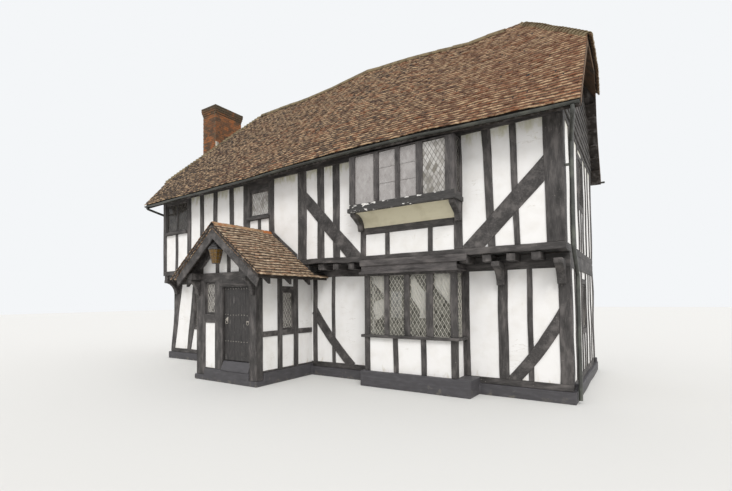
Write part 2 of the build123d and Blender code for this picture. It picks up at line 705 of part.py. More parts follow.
def plates_and_gables(prism, below_hips, drop, slope):
    """Wall plates with bevelled tops, tie beams, and boarded gables up to the roof."""
    root = math.sqrt(1 + slope * slope)
    deep = drop + rafter_d * root
    for side in (-1, 1):
        outer_y = side * house_depth / 2
        inner_y = outer_y - side * frame_t
        z_out = ridge_z - abs(outer_y) * slope - deep
        z_in = ridge_z - abs(inner_y) * slope - deep
        add("wall_plates", along_x([(outer_y, plate_bottom), (inner_y, plate_bottom), (inner_y, z_in),
                           (outer_y, z_out)], x_left, x_right))
    tie_top = ridge_z - (house_depth / 2) * slope - deep
    for a in (x_left, x_right - frame_t):
        add("tie_beams", block(a, a + frame_t, y_upper + frame_t, y_rear - frame_t, plate_bottom, tie_top))
    attic = prism(drop, x_left, x_right) & below_hips(roof_t, 10)
    for a in (x_left, x_right - gable_t):
        wall = attic & block(a, a + gable_t, y_upper, y_rear, tie_top, ridge_z)
        for y in (-1, 1):
            outer_y = y * house_depth / 2
            inner_y = outer_y - y * frame_t
            plate = [(outer_y + y, 0), (inner_y, 0), (inner_y, ridge_z - abs(inner_y) * slope - deep),
                     (outer_y + y, ridge_z - abs(outer_y + y) * slope - deep)]
            wall = wall - along_x(plate, a - 1, a + gable_t + 1)
        add("gable_boards", wall)


def roof_edges(outer, x0, x1, half):
    """Half-round ridge tiles and the bonnets along the hips."""
    ring = Cylinder(ridge_tile_r, ridge_right - ridge_left) - Cylinder(ridge_tile_r - tile_shell, beyond)
    ridge = Pos((ridge_left + ridge_right) / 2, 0, ridge_z - 45) * (Rot(0, 90, 0) * ring)
    top = block(ridge_left, ridge_right, -400, 400, ridge_z - 120, ridge_z + 400)
    add("ridge_tiles", (ridge & top) - outer)
    slope = (ridge_z - eave_z) / half
    for end_x, top_x, z in ((x0, ridge_left, hip_eave_left), (x1, ridge_right, hip_eave_right)):
        y = (ridge_z - z) / slope
        sign = 1 if end_x > top_x else -1
        for side in (-1, 1):
            a = Vector(end_x, side * y, z)
            b = Vector(top_x + sign * 140, side * 140 * y / abs(end_x - top_x),
                       ridge_z - 140 * (ridge_z - z) / abs(end_x - top_x))
            plane = Plane(origin=a, z_dir=(b - a).normalized())
            rod = extrude(plane * Circle(hip_tile_r), (b - a).length)
            add("hip_tiles", rod - outer)


def rainwater():
    """Half-round gutters on strap brackets, with swan necks and pipes at the right end."""
    half = house_depth / 2 + eave_out
    z = eave_z - gutter_drop
    x0, x1 = x_left - verge_left + 30, x_right + verge_right - 20
    for side in (-1, 1):
        y = side * (half + gutter_r)
        outer = Rot(0, 90, 0) * Cylinder(gutter_r, x1 - x0)
        inner = Rot(0, 90, 0) * Cylinder(gutter_r - gutter_t, x1 - x0 - 2 * gutter_t)
        trough = (outer - inner) & block(-beyond, beyond, -2 * gutter_r, 2 * gutter_r, -2 * gutter_r, 0)
        shape = Pos((x0 + x1) / 2, y, z) * trough
        near, far = sorted((side * half, side * (half + 14)))
        for i in range(gutter_lugs):
            a = x0 + 300 + i * (x1 - x0 - 600) / (gutter_lugs - 1)
            shape = shape + block(a - 15, a + 15, near, far, z - 30, z)
        add("gutters", shape)


def downpipes():
    """A pipe at each front corner: neck from the gutter, down the end wall, back under the jetty."""
    half = house_depth / 2 + eave_out
    z = eave_z - gutter_drop - gutter_r
    y_gutter = -(half + gutter_r)
    for side, foot in ((1, x_right), (-1, x_left)):
        x_wall = foot + side * (plinth_proud + pipe_r + 5)
        x_foot = x_wall if side > 0 else lean_x(sill_top) - plinth_proud - pipe_r - 10
        x_out = x_right + verge_right - 120 if side > 0 else x_left - verge_left + 130
        y_up, y_low = (y_upper + 110, y_ground + 110) if side > 0 else (y_ground + 220, y_ground + 220)
        points = [(x_out, y_gutter, z), (x_out, y_gutter, z - 110), (x_wall, y_up, z - 380),
                  (x_wall, y_up, joist_top + 60), (x_wall if side > 0 else x_foot, y_low, head_bottom - 150),
                  (x_foot, y_low, 60)]
        path = FilletPolyline(*points, radius=45)
        start = Plane(origin=points[0], z_dir=(0, 0, -1))
        pipe = sweep(start * Circle(pipe_r), path)
        clip = block(min(foot, x_wall), max(foot, x_wall), y_up - 20, y_up + 20, 4300, 4340)
        add("downpipes", pipe + clip)


def chimney():
    """Brick end stack with one long flue and a corbelled cap."""
    x0, x1 = x_left - stack_w, x_left
    w = stack_wall
    flue = block(x0 + w, x1 - w, stack_y0 + w, stack_y1 - w, 600, beyond)
    add("chimney_stack", stack - flue)
    first, second = stack_top + cap_course, stack_top + 2 * cap_course
    bands = [(cap_proud * 0.35, stack_top, first), (cap_proud * 0.7, first, second),
             (cap_proud, second, cap_top - cap_course), (cap_proud * 0.5, cap_top - cap_course, cap_top)]
    cap = None
    for proud, z0, z1 in bands:
        band = block(x0 - proud, x1 + proud, stack_y0 - proud, stack_y1 + proud, z0, z1)
        cap = band if cap is None else cap + band
    add("chimney_cap", cap - flue)


def porch_walls():
    """Porch plinth, posts, rails, panels and lights."""
    x0, x1, y0, y1 = porch_x0, porch_x1, porch_y, y_ground
    t = porch_t
    lo, hi = porch_plinth_top, porch_plate_z
    d = porch_post_d
    left_post = block(x0, x0 + porch_left_post, y0, y0 + d, porch_post_foot, hi)
    right_post = block(x1 - porch_right_post, x1, y0, y0 + d, porch_post_foot, hi)
    add("porch_posts", left_post, right_post)
    floor = block(x0 + t, x1 - t, y0 + t, y1, porch_plinth_top, floor_top)
    add("ground_floor", floor - left_post - right_post)
    front = Wall("front", y0)
    door_post = (door_x0 - 280, door_x0)
    left_edge = x0 + porch_left_post
    posts = [rect(door_post[0], door_post[1], lo, hi)]
    rails = [rect(left_edge, door_post[0], lo, porch_sill_top - 20),
             rect(left_edge, door_post[0], 1420, 1640), rect(left_edge, door_post[0], 2420, hi),
             rect(door_post[1], door_x1, door_top + door_gap, hi)]
    hole = rect(left_edge, door_post[0], 1640, 2420)
    names = dict(posts="porch_posts", rails="wall_rails", braces="wall_rails", studs="porch_posts",
                 panels="porch_panels")
    framed_wall(front, rect(left_edge, door_post[0], lo, hi), names, posts, rails, (), (), [hole], depth=t)
    window(front, left_edge, door_post[0], 1640, 2420, 1, "window_frames", "window_glass", near=30)
    for side, position in (("right", x1), ("left", x0)):
        wall = Wall(side, position)
        s0, s1 = y0 + d, y1
        studs = [rect(-3170, -3015, lo, hi), rect(-2611, -2449, lo, hi)]
        rails = [rect(s0, s1, lo, porch_sill_top), rect(s0, s1, 1112, 1240), rect(-3015, -2611, 2190, 2300)]
        hole = rect(-3015, -2611, 1240, 2190)
        framed_wall(wall, rect(s0, s1, lo, hi), names, studs, rails, (), (), [hole], depth=t)
        window(wall, -3015, -2611, 1240, 2190, 1, "window_frames", "window_glass", near=30)


def porch_slope_z(x):
    """Height of the porch roof's top face at x."""
    run = abs(x - porch_ridge_x)
    return porch_ridge_z - run * (porch_ridge_z - porch_eave_z) / porch_half


def porch_roof():
    """Porch tie beam, plates, rafters, tiled slopes, bargeboards, gable and brackets."""
    slope = (porch_ridge_z - porch_eave_z) / porch_half
    root = math.sqrt(1 + slope * slope)
    drop = porch_roof_t * root
    deep = drop + porch_rafter_d * root
    x0, x1, y0, t = porch_x0, porch_x1, porch_y, porch_t
    add("tie_beams", block(x0 + t + 60, x1 - t - 60, y0, y0 + 160, porch_plate_z, porch_plate_top))
    plates = [block(a, a + t + 60, porch_front_y + 110, y_ground, porch_plate_z, porch_plate_top)
              for a in (x0, x1 - t - 60)]
    add("wall_plates", *plates)
    jetty_box = block(x_left, x_right, y_upper, y_rear, head_top, bressumer_top + 3000)
    cx, cz, half = porch_ridge_x, porch_ridge_z, porch_half
    for side, node in ((-1, "porch_roof_left"), (1, "porch_roof_right")):
        edge = cx + side * half
        points = [(cx, cz), (edge, porch_eave_z), (edge, porch_eave_z - drop), (cx, cz - drop)]
        add(node, along_y(points, porch_front_y, y_ground) - jetty_box)
    feet = half - 75
    z_feet = cz - feet * slope
    for y in (y0 - 1, -3190, -2520):
        for side in (-1, 1):
            edge = cx + side * feet
            start = cx + side * 0.5
            points = [(start, cz - drop - 0.5 * slope), (edge, z_feet - drop), (edge, z_feet - deep),
                      (start, cz - deep - 0.5 * slope)]
            body = along_y(points, y - porch_rafter_w / 2, y + porch_rafter_w / 2)
            for plate in plates:
                body = body - plate
            add("rafters", body)
    b0, b1 = porch_front_y + 25, porch_front_y + 25 + barge_t
    width = barge_w * root
    edge = half - 15
    z_edge = cz - edge * slope - drop
    tip = 70
    z_tip = z_edge - width + tip * slope
    short = barge_short
    add("porch_boards", along_y([(cx, cz - drop), (cx + edge, z_edge), (cx + edge - tip, z_tip),
                                 (cx, cz - drop - width), (cx - edge + tip + short, z_tip + short * slope),
                                 (cx - edge + short, z_edge + short * slope)], b0, b1))
    gable = [(x0 + t + 60, porch_plate_top), (x1 - t - 60, porch_plate_top)]
    peak = cz - drop
    right = porch_slope_z(x1 - t - 60) - drop
    left = porch_slope_z(x0 + t + 60) - drop
    outline = [gable[0], gable[1], (gable[1][0], right), (cx, peak), (gable[0][0], left)]
    wall = Wall("front", y0 + 40)
    frame = cut(sheet([rect(-1560, -1440, porch_plate_top, cz), rect(-1130, -1010, porch_plate_top, cz),
                       rect(-700, -590, porch_plate_top, cz)]))
    frame = frame & face(outline)
    add("porch_posts", wall.solid(frame, 0, 100))
    add("porch_panels", wall.solid(face(outline) - frame, panel_recess, 100))
    for a in (x0 + 40, x1 - 150):
        points = [(y0, porch_plate_z), (y0 - 270, porch_plate_z), (y0 - 270, porch_plate_z - 60)]
        for i in range(1, 6):
            ang = i / 6 * math.pi / 2
            points.append((y0 - 270 + 210 * math.sin(ang), porch_plate_z - 60 - 330 * (1 - math.cos(ang))))
        points += [(y0 - 60, porch_plate_z - 390), (y0, porch_plate_z - 390)]
        add("curved_brackets", along_x(points, a, a + 110))
    ring = Cylinder(95, y_upper - porch_front_y - 10) - Cylinder(75, beyond)
    ridge = Pos(cx, (porch_front_y + y_upper) / 2, cz - 30) * (Rot(90, 0, 0) * ring)
    top = block(cx - 300, cx + 300, porch_front_y, y_upper, cz - 90, cz + 300)
    roof = along_y([(cx - half, porch_eave_z), (cx, cz), (cx + half, porch_eave_z), (cx, 0)],
                   porch_front_y - 10, y_upper + 10)
    add("ridge_tiles", (ridge & top) - roof)
    for side in (-1, 1):
        a, b = cx + side * 105, cx + side * (cz - bressumer_top) / slope
        za, zb = porch_slope_z(a), porch_slope_z(b)
        flashing = [(a, za + 3), (b, zb + 3), (b, zb + flashing_w), (a, za + flashing_w)]
        add("porch_boards", along_y(flashing, y_upper - 28, y_upper))


def front_door():
    """Door frame lips, head, sloped step, the ledged leaf and its handles."""
    y0 = porch_y
    lip, lap = 55, 14
    z0, z1 = floor_top + 20, door_top + door_gap
    frame = block(door_x0, door_x0 + lap, y0, y0 + lip, z0, z1)
    frame = frame + block(door_x1 - lap, door_x1, y0, y0 + lip, z0, z1)
    frame = frame + block(door_x0, door_x1, y0, y0 + lip, z1 - lap, z1)
    add("door_frame", frame)
    step = [(y0 - 45, porch_plinth_top), (y0 + porch_t, porch_plinth_top), (y0 + porch_t, floor_top + 20),
            (y0 + 40, floor_top + 20), (y0 - 45, porch_plinth_top + 35)]
    add("door_step", along_x(step, door_x0, door_x1))
    ly0 = y0 + leaf_set
    leaf_x0, leaf_x1 = door_x0 + door_gap, door_x1 - door_gap
    add("door_leaf", block(leaf_x0, leaf_x1, ly0, ly0 + leaf_t, leaf_bottom, door_top))
    back = ly0 + leaf_t
    ledges = [block(leaf_x0 + 60, leaf_x1 - 135, back, back + 28, z, z + 130)
              for z in (leaf_bottom + 120, 1340, door_top - 250)]
    add("door_ledges", *ledges)
    hinges(back)
    z = 1465
    plate_x = leaf_x0 + 75
    plate = along_y([(plate_x - 45, z + 5), (plate_x + 45, z + 5), (plate_x, z + 110)], ly0 - 6, ly0)
    ring = Pos(plate_x, ly0 - 13, z - 30) * (Rot(90, 0, 0) * Torus(40, 7))
    add("door_handles", plate + ring)
    bow_x = leaf_x1 - 75
    back = block(bow_x - 40, bow_x + 40, ly0 - 6, ly0, z - 15, z + 15)
    bow = Pos(bow_x, ly0 - 13, z - 20) * (Rot(90, 0, 0) * Torus(34, 7))
    add("door_handles", back + bow)


def hinges(back):
    """Pintles driven into the right post, and the straps of the leaf that turn on them."""
    for z in hinge_z:
        pin = Pos(pin_x, pin_y, z) * Cylinder(pin_r, 90)
        boss = Pos(pin_x, pin_y, z - 35) * Cylinder(pin_r + 1.5, 20)
        shank = block(pin_x, door_x1, pin_y - pin_r, pin_y + pin_r, z - 45, z - 25)
        add("door_pintles", pin + boss + shank)
        low = z - 25 + pin_play
        eye = Pos(pin_x, pin_y, low + 22) * Cylinder(eye_r, 44)
        strap = block(pin_x - 430, pin_x, back, back + 5, low, low + 44)
        bore = Pos(pin_x, pin_y, z) * Cylinder(pin_r + pin_play, 200)
        add("door_straps", eye + strap - bore)


def lantern():
    """Hexagonal hanging lantern: hood, tapering body frame, glass and hanging rod."""
    x, y = porch_ridge_x - 70, porch_front_y + 182
    slope = (porch_ridge_z - porch_eave_z) / porch_half
    top = porch_slope_z(x - 8) - porch_roof_t * math.sqrt(1 + slope * slope)
    rod = Pos(x, y, (top + 3400) / 2) * Cylinder(8, top - 3400)
    hood = loft([Plane(origin=(x, y, 3180)) * RegularPolygon(180, 6),
                 Plane(origin=(x, y, 3310)) * RegularPolygon(60, 6)])
    knob = Pos(x, y, 3355) * Cylinder(30, 90)
    add("lantern_hood", hood + knob + rod)
    body = loft([Plane(origin=(x, y, 2850)) * RegularPolygon(96, 6),
                 Plane(origin=(x, y, 3180)) * RegularPolygon(172, 6)])
    inside = loft([Plane(origin=(x, y, 2866)) * RegularPolygon(84, 6),
                   Plane(origin=(x, y, 3180)) * RegularPolygon(160, 6)])
    add("lantern_body", body - inside)


def build():
    """Makes every piece in order, from the plinth up."""
    plinths()
    ground_floor()
    ring_beams()
    upper_floor()
    ground_front()
    jetty_brackets()
    rear_and_side_walls()
    upper_front()
    oriel()
    bay()
    main_roof()
    rainwater()
    downpipes()
    chimney()
    porch_walls()
    porch_roof()
    front_door()
    lantern()


build()
os.makedirs("parts", exist_ok=True)
for name, solids in nodes.items():
    placed = [Pos(-middle_x, -middle_y, 0) * solid for solid in solids]
    export_step(Compound(children=placed), f"parts/{name}.step")
print(len(nodes), "nodes")
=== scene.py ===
"""Looks of a half-timbered house: hand-made tiles, bricks, leaded lights, limewash and tarred oak.

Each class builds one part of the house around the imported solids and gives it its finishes.
Metres from the middle of the upper storey: X along the front, Y into the house, Z up.
"""

import logging
import math
import random
from dataclasses import dataclass
from enum import Enum

import bmesh
import bpy
from mathutils import Matrix, Vector, noise


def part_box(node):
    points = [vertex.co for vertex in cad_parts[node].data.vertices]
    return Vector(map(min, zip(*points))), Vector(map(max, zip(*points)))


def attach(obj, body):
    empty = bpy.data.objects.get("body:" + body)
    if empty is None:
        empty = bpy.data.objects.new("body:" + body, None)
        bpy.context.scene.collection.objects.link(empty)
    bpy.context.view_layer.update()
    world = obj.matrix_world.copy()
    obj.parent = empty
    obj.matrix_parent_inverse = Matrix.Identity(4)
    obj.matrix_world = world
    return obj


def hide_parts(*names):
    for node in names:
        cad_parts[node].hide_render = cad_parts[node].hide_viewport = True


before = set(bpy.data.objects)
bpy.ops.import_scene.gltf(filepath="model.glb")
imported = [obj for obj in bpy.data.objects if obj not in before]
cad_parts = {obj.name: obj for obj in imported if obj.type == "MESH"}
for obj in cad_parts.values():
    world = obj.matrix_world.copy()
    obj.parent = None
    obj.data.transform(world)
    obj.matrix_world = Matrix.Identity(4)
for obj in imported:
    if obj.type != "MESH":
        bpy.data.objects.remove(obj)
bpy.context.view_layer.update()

LOG = logging.getLogger("timber_house")
HOUSE = "house"
DOOR = "front_door"

# Without a seed the noise that moves the frame starts from the clock
WANDER_SEED = 5

UP = Vector((0.0, 0.0, 1.0))

# Lines where the planes of the main roof meet, before they sag
EAVE_Z = 5.28
EAVE_Y = 2.86
VERGE_LEFT = -6.42
VERGE_RIGHT = 6.51
RIDGE_LEFT = -3.95
RIDGE_RIGHT = 5.02
HIP_FOOT_LEFT = 6.15
HIP_FOOT_RIGHT = 7.06

# Points nearer than this to a cut lie on it
WELD = 1e-5


def plan_origin() -> Vector:
    """The middle of the upper storey in plan, which all sizes here are drawn from."""
    low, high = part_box("upper_posts")
    return Vector(((low.x + high.x) / 2, (low.y + high.y) / 2, 0.0))


PLAN = plan_origin()


def box(node: str) -> tuple[Vector, Vector]:
    """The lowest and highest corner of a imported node, drawn from the plan's origin."""
    low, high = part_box(node)
    return Vector(low) - PLAN, Vector(high) - PLAN


def held(value: float) -> float:
    """A value kept between 0 and 1."""
    return min(max(value, 0.0), 1.0)


def linear(code: str) -> tuple[float, float, float, float]:
    """Turns an sRGB hex code into a linear colour.

    Args:
        code: the colour as #rrggbb.

    Returns:
        Linear red, green, blue and an alpha of 1.
    """
    parts = [int(code[i:i + 2], 16) / 255 for i in (1, 3, 5)]
    red, green, blue = (p / 12.92 if p <= 0.04045 else ((p + 0.055) / 1.055) ** 2.4 for p in parts)
    return red, green, blue, 1.0


def add(tree: bpy.types.NodeTree, kind: str, inputs: dict | None = None, **settings) -> bpy.types.Node:
    """Adds one node, sets its settings and fills or links its inputs.

    Args:
        tree: the material's or world's node tree.
        kind: the node's type name.
        inputs: values or output sockets by the input's name or number.
        **settings: properties of the node.

    Returns:
        The new node.
    """
    made = tree.nodes.new(kind)
    for name, value in settings.items():
        setattr(made, name, value)
    for key, value in (inputs or {}).items():
        if isinstance(value, bpy.types.NodeSocket):
            tree.links.new(value, made.inputs[key])
        else:
            made.inputs[key].default_value = value
    return made


def grainy(tree: bpy.types.NodeTree, at: bpy.types.NodeSocket, size: float,
           stretch: tuple[float, float, float] = (1.0, 1.0, 1.0),
           detail: float = 4.0) -> bpy.types.NodeSocket:
    """A soft random pattern of one real size.

    Args:
        tree: the node tree.
        at: the coordinates.
        size: metres across one patch.
        stretch: how many times longer a patch is along each axis.
        detail: how many finer layers it holds.

    Returns:
        The pattern, about 0.5 on average.
    """
    scale = tuple(1 / (size * s) for s in stretch)
    placed = add(tree, "ShaderNodeMapping", {"Vector": at, "Scale": scale})
    made = add(tree, "ShaderNodeTexNoise", {"Vector": placed.outputs[0], "Scale": 1.0, "Detail": detail})
    return made.outputs[0]


def coats(tree: bpy.types.NodeTree, ground: str | bpy.types.NodeSocket,
          layers: list[tuple[bpy.types.NodeSocket, float, float, str]]) -> bpy.types.NodeSocket:
    """Lays colours over a ground, each where its pattern runs from a low value to a high one.

    Args:
        tree: the node tree.
        ground: the hex code or socket of the colour beneath.
        layers: pattern, value where the coat starts, value where it is full, and its hex code.

    Returns:
        The colour of the finished coats.
    """
    colour = linear(ground) if isinstance(ground, str) else ground
    for pattern, low, high, code in layers:
        mask = add(tree, "ShaderNodeMapRange", {"Value": pattern, "From Min": low, "From Max": high})
        mixed = add(tree, "ShaderNodeMix", {0: mask.outputs[0], 6: colour, 7: linear(code)}, data_type="RGBA")
        colour = mixed.outputs[2]
    return colour


class Run(Enum):
    """The way that timber's grain runs."""
    ALONG = (16.0, 1.0, 1.0)
    INWARD = (1.0, 16.0, 1.0)
    UPRIGHT = (1.0, 1.0, 16.0)
    MIXED = (3.0, 3.0, 3.0)


class Side(Enum):
    """The four planes of the main roof."""
    FRONT = "front"
    REAR = "rear"
    LEFT = "left"
    RIGHT = "right"


class Light(Enum):
    """The groups of panes that share their glass and their lead."""
    BAY = "bay"
    ORIEL = "oriel"
    PATCHED = "patched"
    OTHER = "other"
    RETURN = "return"
    DARK = "dark"
    SMALL = "small"


class Finish:
    """A procedural material. Each kind paints its own colour, roughness and relief."""
    name: str

    def paint(self, tree: bpy.types.NodeTree, at: bpy.types.NodeSocket) -> dict:
        """Paints the surface with nodes; each kind of finish has its own.

        Args:
            tree: the material's node tree.
            at: the object's coordinates.

        Returns:
            The shader's inputs, with the relief as height and its depth in metres.
        """
        raise NotImplementedError

    def material(self) -> bpy.types.Material:
        """Makes the material the first time that it is asked for.

        Returns:
            The material of this name.
        """
        found = bpy.data.materials.get(self.name)
        if found is not None:
            return found
        made = bpy.data.materials.new(self.name)
        made.use_nodes = True
        tree = made.node_tree
        tree.nodes.clear()
        at = add(tree, "ShaderNodeTexCoord").outputs["Object"]
        values = self.paint(tree, at)
        height, depth = values.pop("height", None), values.pop("depth", 0.002)
        if height is not None:
            relief = add(tree, "ShaderNodeBump", {"Height": height, "Distance": depth, "Strength": 1.0})
            values["Normal"] = relief.outputs["Normal"]
        shader = add(tree, "ShaderNodeBsdfPrincipled", values)
        add(tree, "ShaderNodeOutputMaterial", {"Surface": shader.outputs["BSDF"]})
        return made


@dataclass(frozen=True)
class TarredOak(Finish):
    """Hewn oak under many coats of black paint: open grain, chalky high spots, pale flecks."""
    name: str = "tarred_oak"
    run: Run = Run.UPRIGHT
    ground: str = "#353230"
    worn: str = "#534f4d"

    def paint(self, tree: bpy.types.NodeTree, at: bpy.types.NodeSocket) -> dict:
        """Paint thinned over the raised grain, with grain 5 mm apart and flecks of 6 mm.

        Args:
            tree: the material's node tree.
            at: the object's coordinates.

        Returns:
            The shader's inputs.
        """
        grain = grainy(tree, at, 0.009, self.run.value, 6.0)
        chalk = grainy(tree, at, 0.12, tuple(s ** 0.4 for s in self.run.value), 5.0)
        fleck = grainy(tree, at, 0.02, detail=2.0)
        colour = coats(tree, self.ground, [
            (grain, 0.42, 0.70, self.worn), (chalk, 0.50, 0.72, "#66615e"),
            (chalk, 0.44, 0.28, "#282523"), (fleck, 0.725, 0.77, "#a8a198")])
        rough = add(tree, "ShaderNodeMapRange", {"Value": grain, "To Min": 0.55, "To Max": 0.85})
        return {"Base Color": colour, "Roughness": rough.outputs[0], "height": grain, "depth": 0.006}


@dataclass(frozen=True)
class PlankOak(Finish):
    """Door planks in worn black paint: open grain, dusty streaks and a few white scratches."""
    name: str = "worn_plank_oak"

    def paint(self, tree: bpy.types.NodeTree, at: bpy.types.NodeSocket) -> dict:
        """Grain 4 mm apart, dust in streaks, scratches 5 mm wide and some 0.2 m long.

        Args:
            tree: the material's node tree.
            at: the object's coordinates.

        Returns:
            The shader's inputs.
        """
        grain = grainy(tree, at, 0.008, Run.UPRIGHT.value, 6.0)
        dust = grainy(tree, at, 0.05, (1.0, 1.0, 6.0), 6.0)
        scratch = grainy(tree, at, 0.028, (1.0, 1.0, 22.0), 1.0)
        speck = grainy(tree, at, 0.012, (1.0, 1.0, 2.0), 2.0)
        colour = coats(tree, "#2c2a29", [
            (grain, 0.45, 0.70, "#4a4644"), (dust, 0.58, 0.80, "#524e4a"), (dust, 0.42, 0.28, "#1c1a1a"),
            (speck, 0.72, 0.76, "#8d877f"), (scratch, 0.765, 0.785, "#bdb8b2")])
        return {"Base Color": colour, "Roughness": 0.68, "height": grain, "depth": 0.006}


@dataclass(frozen=True)
class Limewash(Finish):
    """Lime render between the timbers, brushed with limewash: chalky, softly uneven, finely cracked."""
    name: str = "limewash"
    ground: str = "#ebe9e6"
    aged: str = "#e3e0db"
    cracked: tuple[float, float] = (-60.0, 36.0)

    def paint(self, tree: bpy.types.NodeTree, at: bpy.types.NodeSocket) -> dict:
        """Trowel waves of 0.3 m, level hair cracks in places, dirt at the foot, and a darker, yellower band
        under the eaves.

        Args:
            tree: the material's node tree.
            at: the object's coordinates.

        Returns:
            The shader's inputs.
        """
        wave = grainy(tree, at, 0.30, detail=3.0)
        dirt = grainy(tree, at, 0.09, (1.0, 1.0, 2.5), 6.0)
        cracks = grainy(tree, at, 0.16, (6.0, 6.0, 1.0), 5.0)
        crossing = add(tree, "ShaderNodeMath", {0: cracks, 1: 0.5}, operation="SUBTRACT")
        line = add(tree, "ShaderNodeMath", {0: crossing.outputs[0]}, operation="ABSOLUTE")
        worn = grainy(tree, at, 0.8, detail=2.0)
        hair = add(tree, "ShaderNodeMath", {0: worn, 1: self.cracked[0], 2: self.cracked[1]},
                   operation="MULTIPLY_ADD")
        hair = add(tree, "ShaderNodeMath", {0: hair.outputs[0], 1: 0.0}, operation="MAXIMUM")
        hair = add(tree, "ShaderNodeMath", {0: line.outputs[0], 1: hair.outputs[0]}, operation="ADD")
        split = add(tree, "ShaderNodeSeparateXYZ", {0: at})
        foot = add(tree, "ShaderNodeMath", {0: dirt, 1: split.outputs[2]}, operation="ADD")
        # Above 5.55 the foot mask makes the panels darker and yellower just under the eaves.
        colour = coats(tree, self.ground, [
            (wave, 0.45, 0.75, self.aged), (dirt, 0.66, 0.95, "#d5d0c6"),
            (hair.outputs[0], 0.006, 0.001, "#d5d1ca"),
            (foot.outputs[0], 0.86, 0.66, "#d2ccbe"), (foot.outputs[0], 5.55, 5.90, "#c9c5a9")])
        fine = grainy(tree, at, 0.012, detail=3.0)
        mixed = add(tree, "ShaderNodeMath", {0: wave, 1: 6.0, 2: fine}, operation="MULTIPLY_ADD")
        return {"Base Color": colour, "Roughness": 0.92, "height": mixed.outputs[0], "depth": 0.0016}


@dataclass(frozen=True)
class TarredMasonry(Finish):
    """Rendered plinth under thick bitumen paint: smooth, dark, faintly satin, dusty at the ground."""
    name: str = "tarred_masonry"
    ground: str = "#444244"

    def paint(self, tree: bpy.types.NodeTree, at: bpy.types.NodeSocket) -> dict:
        """Brush marks of 50 mm and dust that rises some 80 mm from the ground.

        Args:
            tree: the material's node tree.
            at: the object's coordinates.

        Returns:
            The shader's inputs.
        """
        brush = grainy(tree, at, 0.05, (4.0, 4.0, 1.0), 5.0)
        dust = grainy(tree, at, 0.10, detail=5.0)
        split = add(tree, "ShaderNodeSeparateXYZ", {0: at})
        low = add(tree, "ShaderNodeMath", {0: split.outputs[2], 1: dust}, operation="SUBTRACT")
        colour = coats(tree, self.ground, [
            (brush, 0.5, 0.8, "#525053"), (brush, 0.45, 0.25, "#3b393b"), (dust, 0.66, 0.86, "#5c5957"),
            (low.outputs[0], -0.50, -0.66, "#5f5b54")])
        return {"Base Color": colour, "Roughness": 0.62, "height": brush, "depth": 0.004}


@dataclass(frozen=True)
class ClayTile(Finish):
    """Hand-made plain clay tile: each tile fired its own red or brown, sanded, with lichen and moss."""
    name: str = "plain_clay_tile"
    ground: str = "#583e29"
    dark: str = "#332419"
    bright: str = "#7a4b2b"
    pale: str = "#8b6e52"
    tail: str = "#bea07d"
    moss: str = "#4b4229"
    shade: str = "#19120d"
    shade_from: float = 0.27

    def paint(self, tree: bpy.types.NodeTree, at: bpy.types.NodeSocket) -> dict:
        """Tone by tile, pale tails that are worn and partly a painted highlight, a painted shadow under the
        tail above, lichen spots of 50 mm.

        The sand is drawn 5 mm coarse, so that it shows.

        Args:
            tree: the material's node tree.
            at: the object's coordinates.

        Returns:
            The shader's inputs.
        """
        tone = add(tree, "ShaderNodeAttribute", attribute_name="tone").outputs["Fac"]
        along = add(tree, "ShaderNodeAttribute", attribute_name="along").outputs["Fac"]
        sand = grainy(tree, at, 0.010, detail=4.0)
        lichen = grainy(tree, at, 0.05, detail=3.0)
        drift = grainy(tree, at, 1.1, detail=5.0)
        # worn marks the pale tails: partly wear, partly a painted highlight where the light catches them.
        worn = add(tree, "ShaderNodeMath", {0: grainy(tree, at, 0.13, detail=2.0), 1: along, 2: 0.0},
                   operation="SUBTRACT")
        split = add(tree, "ShaderNodeSeparateXYZ", {0: at})
        across = add(tree, "ShaderNodeMath", {0: drift, 1: 6.0, 2: split.outputs[0]},
                     operation="MULTIPLY_ADD")
        colour = coats(tree, self.ground, [
            (tone, 0.40, 0.0, self.dark), (tone, 0.60, 1.0, self.bright),
            (across.outputs[0], 3.0, -2.5, self.dark), (across.outputs[0], 5.0, 12.0, self.bright),
            (lichen, 0.62, 0.76, self.pale), (lichen, 0.40, 0.28, self.moss), (sand, 0.62, 0.85, self.pale),
            # shade is a painted shadow under the tail of the tile above.
            (along, self.shade_from, self.shade_from + 0.19, self.shade),
            (worn.outputs[0], 0.37, 0.55, self.tail)])
        return {"Base Color": colour, "Roughness": 0.9, "height": sand, "depth": 0.004}


@dataclass(frozen=True)
class StockBrick(Finish):
    """Soft red brick, each burnt its own shade: sooty towards the top, worn faces."""
    name: str = "soft_red_brick"

    def paint(self, tree: bpy.types.NodeTree, at: bpy.types.NodeSocket) -> dict:
        """Tone by brick, pits of 8 mm, burnt patches of 0.3 m and soot over the stack's head.

        Args:
            tree: the material's node tree.
            at: the object's coordinates.

        Returns:
            The shader's inputs.
        """
        tone = add(tree, "ShaderNodeAttribute", attribute_name="tone").outputs["Fac"]
        pits = grainy(tree, at, 0.016, detail=5.0)
        soot = grainy(tree, at, 0.30, detail=5.0)
        split = add(tree, "ShaderNodeSeparateXYZ", {0: at})
        high = add(tree, "ShaderNodeMath", {0: split.outputs[2], 1: soot}, operation="ADD")
        colour = coats(tree, "#6e482c", [
            (tone, 0.45, 0.1, "#4f3926"), (tone, 0.6, 0.95, "#8f592f"), (soot, 0.52, 0.68, "#4b3829"),
            (soot, 0.46, 0.36, "#91552b"), (pits, 0.60, 0.85, "#806047"), (pits, 0.40, 0.25, "#3b281c"),
            (high.outputs[0], 9.60, 9.95, "#463b2a")])
        return {"Base Color": colour, "Roughness": 0.9, "height": pits, "depth": 0.006}


